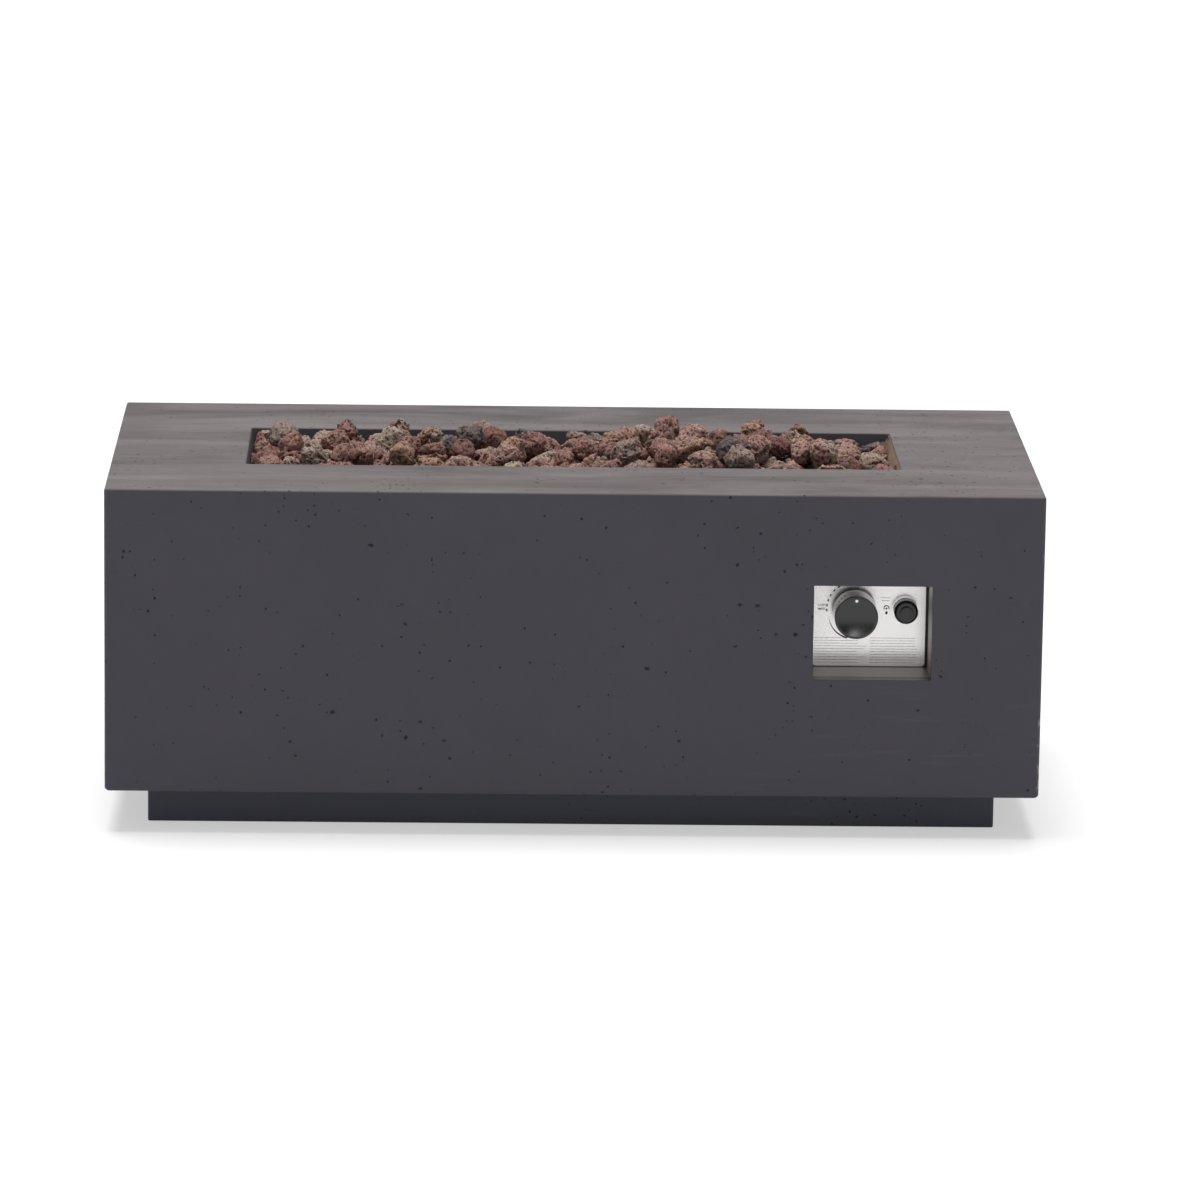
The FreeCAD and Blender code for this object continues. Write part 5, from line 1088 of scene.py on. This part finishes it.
def noted(stone: bpy.types.Object, name: str, values: np.ndarray) -> None:
    """Write one number for each vertex of a stone into its mesh.

    Args:
        stone: mesh object.
        name: name of the attribute that the finish reads.
        values: the numbers.
    """
    attribute = stone.data.attributes.new(name, "FLOAT", "POINT")
    attribute.data.foreach_set("value", values.astype(np.float32))


def toned(stone: bpy.types.Object, tone: float) -> None:
    """Write a stone's own tone into its vertices."""
    noted(stone, "stone_tone", np.full(len(stone.data.vertices), tone))


def smooth_shaded(piece: bpy.types.Object) -> None:
    """Shade a mesh without facets."""
    only(piece)
    bpy.ops.object.shade_smooth()


@dataclass
class Rock:
    """How a surface of lava rock is broken up: lumps, knobs, open bubbles and crumbs."""

    lump_size: float = 17 * MM
    lump_push: float = 10 * MM
    knob_size: float = 7 * MM
    knob_push: float = 4.5 * MM
    bubble_size: float = 4.4 * MM
    bubble_depth: float = 1.9 * MM
    bubble_edge: float = 0.44
    crumb_size: float = 2.0 * MM
    crumb_push: float = 1.5 * MM
    lump_middle: float = 0.47
    knob_middle: float = 0.4
    crumb_middle: float = 0.5
    bubble_floor: float = 0.12

    def texture(self, name: str, kind: str, size: float, **settings: object
                ) -> bpy.types.Texture:
        """Give a texture by its name, and make it at its first use."""
        return bpy.data.textures.get(name) or lumps(name, kind, size, **settings)

    def bubbles(self) -> bpy.types.Texture:
        """Make cells that are pits in their middle and flat elsewhere.

        Returns:
            The texture: 0 at the bottom of a pit and 1 on the flat.
        """
        made = bpy.data.textures.get("rock_bubbles")
        if made is not None:
            return made
        made = lumps("rock_bubbles", "VORONOI", self.bubble_size)
        made.use_color_ramp = True
        low, high = made.color_ramp.elements
        low.position, low.color = self.bubble_floor, (0.0, 0.0, 0.0, 1.0)
        high.position, high.color = self.bubble_edge, (1.0, 1.0, 1.0, 1.0)
        return made

    def broken(self, piece: bpy.types.Object) -> None:
        """Turn a coarse rounded form into rock.

        Args:
            piece: mesh object whose faces are about 5 mm wide.
        """
        pushed(piece, self.texture("rock_lumps", "CLOUDS", self.lump_size, noise_depth=1),
               self.lump_push, self.lump_middle)
        divided(piece, 1)
        pushed(piece, self.texture("rock_knobs", "CLOUDS", self.knob_size, noise_depth=1,
                                   noise_type="HARD_NOISE"), -self.knob_push,
               self.knob_middle)
        divided(piece, 1)
        softened(piece, 1)
        before = places_of(piece)
        pushed(piece, self.bubbles(), self.bubble_depth, 1.0)
        depth = np.linalg.norm(places_of(piece) - before, axis=1) / self.bubble_depth
        noted(piece, "stone_pit", depth)
        pushed(piece, self.texture("rock_crumbs", "CLOUDS", self.crumb_size, noise_depth=2),
               self.crumb_push, self.crumb_middle)
        smooth_shaded(piece)


@dataclass
class Trough:
    """Inside of the fire trough, whose walls lean in towards its floor."""

    half_length: float = 0.360
    half_width: float = 0.106
    rim: float = 0.381
    draft: float = 9.0
    gap: float = 0.5 * MM

    def keep_inside(self, piece: bpy.types.Object) -> None:
        """Draw back what sticks into the trough's walls.

        Args:
            piece: mesh object.
        """
        spots = places_of(piece)
        drop = np.maximum(self.rim - spots[:, 2], 0.0) * math.tan(math.radians(self.draft))
        for axis, half in enumerate((self.half_length, self.half_width)):
            limit = half - self.gap - drop
            spots[:, axis] = np.clip(spots[:, axis], -limit, limit)
        piece.data.vertices.foreach_set("co", spots.ravel())
        piece.data.update()


@dataclass
class LavaStones:
    """Loose lava stones: CAD solids parted, broken up and joined into a few heaps."""

    heaps: int = 8
    parted_share: float = 0.62
    half_scale: float = 0.97
    half_turn: float = 0.5
    weld: float = 0.02 * MM
    flat: float = math.radians(1.0)
    split_lean: tuple[float, float, float] = (1.0, 1.0, 0.6)
    seed: int = 7

    def source(self) -> bpy.types.Object:
        """Copy the CAD stones and weld the copy.

        Returns:
            A copy with whole flat faces.
        """
        node = frame["nodes"]["lava_rocks"]
        copy = bpy.data.objects.new("stone_source", node.data.copy())
        bpy.context.scene.collection.objects.link(copy)
        editing(copy)
        bpy.ops.mesh.remove_doubles(threshold=self.weld)
        bpy.ops.mesh.dissolve_limited(angle_limit=self.flat)
        bpy.ops.mesh.select_all(action="DESELECT")
        bpy.ops.object.mode_set(mode="OBJECT")
        return copy

    def parted(self, stone: bpy.types.Object, dice: random.Random) -> list[bpy.types.Object]:
        """Break a stone in two, and turn the halves a little.

        Args:
            stone: the whole stone, which is used up.
            dice: source of its random numbers.

        Returns:
            The two halves.
        """
        middle = Vector(places_of(stone).mean(axis=0))
        way = Vector([dice.gauss(0.0, lean) for lean in self.split_lean])
        halves = []
        for outer in (True, False):
            half = copied(stone)
            editing(half)
            bpy.ops.mesh.bisect(plane_co=middle, plane_no=way.normalized(), use_fill=True,
                                clear_outer=outer, clear_inner=not outer)
            bpy.ops.object.mode_set(mode="OBJECT")
            centre = Vector(places_of(half).mean(axis=0))
            axis = Vector([dice.uniform(-1.0, 1.0) for _ in range(3)])
            turn = Matrix.Rotation(dice.uniform(-self.half_turn, self.half_turn), 4, axis)
            half.data.transform(Matrix.Translation(centre) @ turn
                                @ Matrix.Scale(self.half_scale, 4) @ Matrix.Translation(-centre))
            halves.append(half)
        bpy.data.objects.remove(stone)
        return halves

    def build(self) -> list[bpy.types.Object]:
        """Model all stones.

        Returns:
            The heaps, from left to right.
        """
        only(self.source())
        bpy.ops.mesh.separate(type="LOOSE")
        dice = random.Random(self.seed)
        stones = []
        for stone in sorted(bpy.context.selected_objects,
                            key=lambda stone: tuple(places_of(stone).mean(axis=0))):
            stones += self.parted(stone, dice) if dice.random() < self.parted_share else [stone]
        for stone in stones:
            toned(stone, dice.random())
        LOG.info("stones: %d", len(stones))
        share = math.ceil(len(stones) / self.heaps)
        made = []
        for index in range(self.heaps):
            heap = joined(stones[index * share:(index + 1) * share], f"lava_stones_{index + 1}")
            divided(heap, 1, Dividing.ROUND)
            Rock().broken(heap)
            Trough().keep_inside(heap)
            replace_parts(settle(heap, "lava_rock"), "lava_rocks")
            made.append(heap)
        return made


@dataclass
class LavaChips:
    """Small broken stones that lie in the hollows between the larger ones."""

    length: float = 0.66
    width: float = 0.15
    pitch: float = 34 * MM
    reach: float = 12 * MM
    smallest: float = 6.5 * MM
    largest: float = 10.5 * MM
    sunk: float = 0.45
    jitter: tuple[float, float] = (0.3, 0.7)
    probes: tuple[float, ...] = (-1.0, -0.5, 0.0, 0.5, 1.0)
    above: float = 1.0
    lean: float = 0.6
    stretch: tuple[float, float] = (0.9, 1.35)
    narrowing: tuple[float, float] = (0.75, 1.0)
    flatness: float = 0.8
    seed: int = 11

    def lowest(self, x: float, y: float, trees: list[BVHTree]) -> Vector | None:
        """Find the lowest spot seen from above round one point.

        Args:
            x: the point's place to the right.
            y: its place to the back.
            trees: the large stones.

        Returns:
            The spot, or none where no stone lies below.
        """
        hits = []
        for i in self.probes:
            for k in self.probes:
                start = Vector((x + i * self.reach, y + k * self.reach, self.above))
                seen = [tree.ray_cast(start, DOWN)[0] for tree in trees]
                hits += [max((spot for spot in seen if spot), key=lambda spot: spot.z,
                             default=start)]
        return min((spot for spot in hits if spot.z < self.above / 2),
                   key=lambda spot: spot.z, default=None)

    def hollows(self, heaps: list[bpy.types.Object]) -> list[Vector]:
        """Find the lowest spot in each square of the heap that is seen from above.

        Args:
            heaps: the large stones.

        Returns:
            Points on the stones.
        """
        bpy.context.view_layer.update()
        depsgraph = bpy.context.evaluated_depsgraph_get()
        trees = [BVHTree.FromObject(heap, depsgraph) for heap in heaps]
        dice = random.Random(self.seed)
        found = []
        for row in range(round(self.width / self.pitch)):
            for column in range(round(self.length / self.pitch)):
                x = (column + dice.uniform(*self.jitter)) * self.pitch - self.length / 2
                y = (row + dice.uniform(*self.jitter)) * self.pitch - self.width / 2
                found.append(self.lowest(x, y, trees))
        return [spot for spot in found if spot is not None]

    def build(self, heaps: list[bpy.types.Object]) -> bpy.types.Object:
        """Model the chips.

        Args:
            heaps: the large stones.

        Returns:
            The piece.
        """
        dice = random.Random(self.seed)
        chips = []
        for spot in self.hollows(heaps):
            size = dice.uniform(self.smallest, self.largest)
            bpy.ops.object.select_all(action="DESELECT")
            bpy.ops.mesh.primitive_ico_sphere_add(
                subdivisions=2, radius=size, location=spot + Vector((0.0, 0.0, size * self.sunk)))
            chip = bpy.context.object
            turn = Matrix.Rotation(dice.uniform(0.0, math.tau), 4, "Z")
            lean = Matrix.Rotation(dice.uniform(-self.lean, self.lean), 4, "X")
            squeeze = Matrix.Diagonal((dice.uniform(*self.stretch), dice.uniform(*self.narrowing),
                                       self.flatness, 1.0))
            chip.data.transform(turn @ lean @ squeeze)
            toned(chip, dice.random())
            chips.append(planted(chip))
        made = joined(chips, "lava_chips")
        Rock().broken(made)
        Trough().keep_inside(made)
        return settle(made, "lava_rock")


@dataclass
class RockBed:
    """Small broken rock that fills the trough under the loose stones."""

    length: float = 0.7
    width: float = 0.192
    top: float = 0.3465
    cell: float = 3.2 * MM
    lump_size: float = 11 * MM
    lump_push: float = 7 * MM
    lump_middle: float = 0.6
    crumb_size: float = 5 * MM
    crumb_push: float = 3 * MM
    crumb_middle: float = 0.5
    tone: float = 0.1

    def build(self) -> bpy.types.Object:
        """Model the bed's upper surface.

        Returns:
            The piece.
        """
        bpy.ops.object.select_all(action="DESELECT")
        bpy.ops.mesh.primitive_grid_add(x_subdivisions=round(self.length / self.cell),
                                        y_subdivisions=round(self.width / self.cell), size=1.0,
                                        location=(0.0, 0.0, self.top))
        bed = bpy.context.object
        bed.name = bed.data.name = "broken_rock"
        editing(bed)
        bpy.ops.transform.resize(value=(self.length, self.width, 1.0))
        bpy.ops.object.mode_set(mode="OBJECT")
        pushed(bed, lumps("bed_lumps", "VORONOI", self.lump_size), -self.lump_push,
               self.lump_middle)
        pushed(bed, lumps("bed_crumbs", "CLOUDS", self.crumb_size, noise_depth=2),
               self.crumb_push, self.crumb_middle)
        toned(bed, self.tone)
        smooth_shaded(bed)
        return settle(bed, "lava_rock")


@dataclass
class PlatePrint:
    """Black marks printed on the control plate round the knob and the igniter."""

    knob_x: float = 0.3065
    igniter_x: float = 0.3625
    axis_z: float = 0.242
    plate_y: float = -0.188
    depth: float = 0.06 * MM
    ring: float = 29.9 * MM
    dash_angles: tuple[float, ...] = (35.0, 47.5, 60.0, 72.0, 83.0, 93.0)
    dash_size: tuple[float, float] = (3.2 * MM, 1.7 * MM)
    dash_round: float = 0.48
    corner_segments: int = 4
    arc_start: float = 100.0
    arc_end: float = 168.0
    arc_lean: float = 175.0
    arc_outer: tuple[float, float] = (27.0 * MM, 7.3 * MM)
    arc_inner: tuple[float, float] = (27.2 * MM, 5.2 * MM)
    disc_sides: int = 128
    cutter_depth: float = 2 * MM
    words: tuple[tuple[str, float], ...] = (("LOW", 2.8 * MM), ("MAX", -1.5 * MM))
    words_x: float = 0.2672
    word_height: float = 2.6 * MM
    letter_size: float = 1.38
    letter_weight: float = 0.035
    columns: tuple[tuple[float, float, int], ...] = ((0.2637, 0.3205, 10), (0.3246, 0.3762, 10))
    rows_top: float = 0.2095
    row_pitch: float = 3.05 * MM
    rule_height: float = 0.42 * MM
    rule_lengths: tuple[float, float] = (1.2, 6.0)
    rule_least: float = 0.8 * MM
    rule_gap: float = 0.75 * MM
    row_ends: tuple[float, ...] = (0.0, 0.0, 0.002, 0.009)
    caption_x: float = -21.5 * MM
    caption: tuple[tuple[float, float], ...] = ((12.6, 11.0), (9.4, 9.0))
    mark_x: float = -20.6 * MM
    mark_z: float = 1.0 * MM
    arch_outer: float = 3.3 * MM
    arch_inner: float = 2.2 * MM
    arch_foot: float = 1.2 * MM
    dot_drop: float = 0.4 * MM
    dot_radius: float = 1.1 * MM
    stem_drop: float = 5.2 * MM
    stem_size: tuple[float, float] = (2.6 * MM, 3.6 * MM)
    seed: int = 5

    def at(self, radius: float, angle: float) -> Vector:
        """Point on the plate at an angle counter-clockwise from the top of the knob."""
        turn = math.radians(angle)
        return Vector((self.knob_x - radius * math.sin(turn), self.plate_y,
                       self.axis_z + radius * math.cos(turn)))

    def raised(self, piece: bpy.types.Object, depth: float) -> bpy.types.Object:
        """Thicken a flat outline, open in edit mode, towards the front.

        Args:
            piece: the outline, which stands upright.
            depth: its thickness.

        Returns:
            The same object as a closed mesh.
        """
        bpy.ops.mesh.select_all(action="SELECT")
        bpy.ops.mesh.extrude_region_move(TRANSFORM_OT_translate={"value": (0.0, -depth, 0.0)})
        bpy.ops.mesh.select_all(action="SELECT")
        bpy.ops.mesh.normals_make_consistent(inside=False)
        bpy.ops.object.mode_set(mode="OBJECT")
        return planted(piece)

    def bar(self, name: str, middle: Vector, size: tuple[float, float],
            soft: float = 0.0) -> bpy.types.Object:
        """Model one printed bar that stands a hair proud of the plate.

        Args:
            name: name of the object.
            middle: centre on the plate.
            size: length and height.
            soft: radius of its corners.

        Returns:
            The bar.
        """
        bpy.ops.object.select_all(action="DESELECT")
        bpy.ops.mesh.primitive_plane_add(size=1.0, location=middle, rotation=UPRIGHT)
        piece = bpy.context.object
        piece.name = name
        editing(piece)
        bpy.ops.transform.resize(value=(size[0], 1.0, size[1]))
        if soft:
            bpy.ops.mesh.bevel(offset=soft, segments=self.corner_segments, affect="VERTICES")
        return self.raised(piece, self.depth)

    def repeated(self, pattern: bpy.types.Object, places: list[Matrix],
                 name: str) -> bpy.types.Object:
        """Copy a printed mark to several places and join the copies.

        Args:
            pattern: the mark, modelled at the origin.
            places: where each copy goes.
            name: name of the joined piece.

        Returns:
            The piece.
        """
        made = []
        for place in places:
            made.append(copied(pattern))
            made[-1].data.transform(place)
        bpy.data.objects.remove(pattern)
        return settle(joined(made, name), "black_plastic")

    def dial(self) -> None:
        """Model the dashes that count up towards the knob's top."""
        dash = self.bar("dash", Vector(), self.dash_size, soft=self.dash_size[1] * self.dash_round)
        self.repeated(dash, [Matrix.Translation(self.at(self.ring, angle))
                             @ Matrix.Rotation(-math.radians(angle), 4, "Y")
                             for angle in self.dash_angles], "dial_dashes")

    def disc(self, name: str, middle: Vector, radius: float, depth: float) -> bpy.types.Object:
        """Model a flat disc that faces the front.

        Args:
            name: name of the object.
            middle: centre of its back.
            radius: its radius.
            depth: its thickness.

        Returns:
            The disc.
        """
        bpy.ops.object.select_all(action="DESELECT")
        bpy.ops.mesh.primitive_circle_add(vertices=self.disc_sides, radius=radius,
                                          fill_type="NGON", location=middle, rotation=UPRIGHT)
        piece = bpy.context.object
        piece.name = name
        editing(piece)
        return self.raised(piece, depth)

    def hollowed(self, outer: bpy.types.Object, middle: Vector, radius: float) -> None:
        """Cut a round hole through a disc.

        Args:
            outer: disc to cut.
            middle: centre of the hole.
            radius: its radius.
        """
        inner = self.disc("cutter", middle + Vector((0.0, self.cutter_depth / 2, 0.0)), radius,
                          self.cutter_depth)
        only(outer)
        modifier = outer.modifiers.new("cut", "BOOLEAN")
        modifier.operation = "DIFFERENCE"
        modifier.object = inner
        bpy.ops.object.modifier_apply(modifier=modifier.name)
        bpy.data.objects.remove(inner)

    def trimmed(self, piece: bpy.types.Object, point: Vector, away: Vector) -> None:
        """Cut off the part of a piece beyond a plane.

        Args:
            piece: mesh object.
            point: point on the plane.
            away: direction of the part that goes.
        """
        editing(piece)
        bpy.ops.mesh.bisect(plane_co=point, plane_no=away, use_fill=True, clear_outer=True)
        bpy.ops.object.mode_set(mode="OBJECT")

    def low_arc(self) -> None:
        """Model the arc that widens towards the knob's low end."""
        centre = math.radians(self.arc_lean)
        way = Vector((-math.sin(centre), 0.0, math.cos(centre)))
        axis = Vector((self.knob_x, self.plate_y, self.axis_z))
        arc = self.disc("dial_arc", axis + way * self.arc_outer[1], self.arc_outer[0], self.depth)
        self.hollowed(arc, axis + way * self.arc_inner[1], self.arc_inner[0])
        for angle, side in ((self.arc_start, 1.0), (self.arc_end, -1.0)):
            turn = math.radians(angle)
            away = Vector((math.cos(turn), 0.0, math.sin(turn))) * side
            self.trimmed(arc, axis, away)
        settle(arc, "black_plastic")

    def lettering(self, text: str, left: Vector) -> bpy.types.Object:
        """Model a word from the built-in font.

        Args:
            text: the word.
            left: lower left corner on the plate.

        Returns:
            The word as a mesh.
        """
        bpy.ops.object.select_all(action="DESELECT")
        bpy.ops.object.text_add(location=left, rotation=UPRIGHT)
        word = bpy.context.object
        word.data.body = text
        word.data.size = self.word_height * self.letter_size
        word.data.offset = self.word_height * self.letter_weight
        word.data.extrude = self.depth / 2
        word.data.resolution_u = 2
        bpy.ops.object.convert(target="MESH")
        return planted(bpy.context.object)

    def dial_words(self) -> None:
        """Print the two ends of the dial."""
        made = [self.lettering(text, Vector((self.words_x, self.plate_y, self.axis_z + rise)))
                for text, rise in self.words]
        settle(joined(made, "dial_words"), "black_plastic")

    def stretched(self, x: float, z: float, length: float) -> Matrix:
        """Lay a rule of 1 mm on the plate with its middle at x and z, and stretch it."""
        return (Matrix.Translation((x, self.plate_y, z))
                @ Matrix.Scale(length, 4, (1.0, 0.0, 0.0)))

    def ruled_lines(self) -> None:
        """Fill the two columns under the dial with short rules in rows."""
        dice = random.Random(self.seed)
        rule = self.bar("rule", Vector(), (1.0 * MM, self.rule_height))
        places = []
        for left, right, rows in self.columns:
            for row in range(rows):
                z = self.rows_top - row * self.row_pitch
                x, end = left, right - dice.choice(self.row_ends)
                while x < end - self.rule_least:
                    length = min(dice.uniform(*self.rule_lengths) * MM, end - x)
                    places.append(self.stretched(x + length / 2, z, length / MM))
                    x += length + self.rule_gap
        for rise, length in self.caption:
            places.append(self.stretched(self.igniter_x + self.caption_x,
                                         self.axis_z + rise * MM, length))
        self.repeated(rule, places, "plate_rules")

    def spark_mark(self) -> None:
        """Model the small mark beside the igniter: an arch over a dot and a bar."""
        centre = Vector((self.igniter_x + self.mark_x, self.plate_y, self.axis_z + self.mark_z))
        arch = self.disc("arch", centre, self.arch_outer, self.depth)
        self.hollowed(arch, centre, self.arch_inner)
        self.trimmed(arch, centre + DOWN * self.arch_foot, DOWN)
        dot = self.disc("dot", centre + DOWN * self.dot_drop, self.dot_radius, self.depth)
        stem = self.bar("stem", centre + DOWN * self.stem_drop, self.stem_size,
                        soft=self.dot_radius)
        settle(joined([arch, dot, stem], "igniter_mark"), "black_plastic")

    def build(self) -> None:
        """Model every mark on the plate."""
        self.dial()
        self.low_arc()
        self.dial_words()
        self.ruled_lines()
        self.spark_mark()


@dataclass
class Fittings:
    """All CAD nodes that stay in view with their own meshes."""

    def dress(self) -> None:
        """Give each CAD node the finish of its slot."""
        for part in frame["record"]["subparts"]:
            node = frame["nodes"][part["node"]]
            node.data.materials.clear()
            node.data.materials.append(FINISHES[part["material_slot"]].material())


@dataclass
class Studio:
    """Pale floor, white surroundings, one soft sun and the camera."""

    floor_size: float = 60.0
    floor_albedo: float = 0.8
    floor_white: float = 0.5
    sky: float = 0.45
    sun: float = 3.9
    sun_angle: float = 31.0
    sun_at: tuple[float, float, float] = (-2.0, 2.0, 4.0)
    sun_way: tuple[float, float, float] = (0.06, -0.1, -1.0)
    card_near: float = -1.62
    card_far: float = -2.7
    card_x: tuple[float, float] = (-0.2, 1.0)
    card_z: float = 0.003
    glint_at: tuple[float, float, float] = (0.443, -2.235, 0.058)
    glint_way: tuple[float, float, float] = (-0.1, 1.0, 0.09)
    glint_size: float = 0.06
    glint_power: float = 0.24
    camera_at: tuple[float, float, float] = (-0.1329, -7.4016, 1.82)
    yaw: float = 1.2846
    pitch: float = 12.2812
    roll: float = 0.7811
    lens: float = 203.0773
    sensor: float = 36.0
    sight: float = 200.0

    def floor(self) -> bpy.types.Object:
        """Lay a floor that the camera sees white outside the table's shadow.

        Returns:
            The floor.
        """
        bpy.ops.object.select_all(action="DESELECT")
        bpy.ops.mesh.primitive_plane_add(size=self.floor_size)
        ground = bpy.context.object
        ground.name = "studio_floor"
        made, graph = blank_material("studio_floor")
        albedo = self.floor_albedo
        matte = graph.add("BsdfDiffuse", {"Color": (albedo, albedo, albedo)})
        glow = graph.add("Emission", {"Color": WHITE, "Strength": 1.0})
        both = graph.add("MixShader")
        graph.feed(both.inputs[0], graph.math("MULTIPLY", graph.open_rays(), self.floor_white))
        graph.tree.links.new(matte.outputs[0], both.inputs[1])
        graph.tree.links.new(glow.outputs[0], both.inputs[2])
        graph.show(both)
        ground.data.materials.append(made)
        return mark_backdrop(ground)

    def surroundings(self) -> None:
        """Light the scene evenly, with white where camera, gloss and glass look past the floor."""
        world = bpy.data.worlds.new("studio_sky")
        bpy.context.scene.world = world
        world.use_nodes = True
        world.node_tree.nodes.clear()
        graph = Graph(world.node_tree)
        strength = graph.remap(graph.open_rays(), 0.0, 1.0, self.sky, 1.0)
        graph.show(graph.add("Background", {"Color": WHITE, "Strength": strength}), "OutputWorld")

    def aim(self, lamp: bpy.types.Object, way: tuple[float, float, float]) -> None:
        """Turn a lamp so that it shines along a direction."""
        lamp.rotation_euler = Vector(way).to_track_quat("-Z", "Y").to_euler()

    def hang_sun(self) -> None:
        """Hang the soft sun, from the upper left and a little behind."""
        bpy.ops.object.select_all(action="DESELECT")
        bpy.ops.object.light_add(type="SUN", location=self.sun_at)
        lamp = bpy.context.object
        lamp.name = "studio_sun"
        lamp.data.energy = self.sun
        lamp.data.angle = math.radians(self.sun_angle)
        self.aim(lamp, self.sun_way)

    def reflections(self) -> None:
        """Lay a dark card and a small lamp before the table that only glossy surfaces mirror."""
        bpy.ops.object.select_all(action="DESELECT")
        bpy.ops.mesh.primitive_plane_add(size=1.0)
        card = bpy.context.object
        card.name = "studio_card"
        left, right = self.card_x
        middle = ((left + right) / 2, (self.card_near + self.card_far) / 2, self.card_z)
        size = (right - left, self.card_near - self.card_far, 1.0, 1.0)
        card.data.transform(Matrix.Translation(middle) @ Matrix.Diagonal(size))
        made, graph = blank_material("studio_card")
        graph.show(graph.add("BsdfDiffuse", {"Color": (0.0, 0.0, 0.0)}))
        card.data.materials.append(made)
        bpy.ops.object.light_add(type="AREA", location=self.glint_at)
        lamp = bpy.context.object
        lamp.name = "studio_glint"
        lamp.data.energy = self.glint_power
        lamp.data.size = self.glint_size
        self.aim(lamp, self.glint_way)
        for piece in (card, lamp):
            piece.visible_camera = False
            piece.visible_diffuse = False
            piece.visible_transmission = False
        card.visible_shadow = False

    def camera(self) -> None:
        """Set the camera up where the photograph was taken."""
        yaw, pitch, roll = map(math.radians, (self.yaw, self.pitch, self.roll))
        ahead = Vector((math.sin(yaw) * math.cos(pitch), math.cos(yaw) * math.cos(pitch),
                        -math.sin(pitch)))
        level = Vector((math.cos(yaw), -math.sin(yaw), 0.0))
        rise = level.cross(ahead)
        right = level * math.cos(roll) + rise * math.sin(roll)
        up = rise * math.cos(roll) - level * math.sin(roll)
        bpy.ops.object.select_all(action="DESELECT")
        bpy.ops.object.camera_add()
        seen = bpy.context.object
        seen.name = "photo_camera"
        turn = Matrix((right, up, -ahead)).transposed().to_4x4()
        seen.matrix_world = Matrix.Translation(self.camera_at) @ turn
        seen.data.sensor_width = self.sensor
        seen.data.lens = self.lens
        seen.data.clip_end = self.sight
        bpy.context.scene.camera = seen

    def build(self) -> None:
        """Build the whole studio."""
        self.floor()
        self.surroundings()
        self.hang_sun()
        self.reflections()
        self.camera()
        bpy.context.scene.view_settings.view_transform = "Standard"


def main() -> None:
    """Build the table's looks and the studio round it."""
    logging.basicConfig(level=logging.INFO, format="%(name)s: %(message)s")
    Studio().build()
    Fittings().dress()
    LavaChips().build(LavaStones().build())
    RockBed().build()
    PlatePrint().build()


if __name__ == "__main__":
    main()
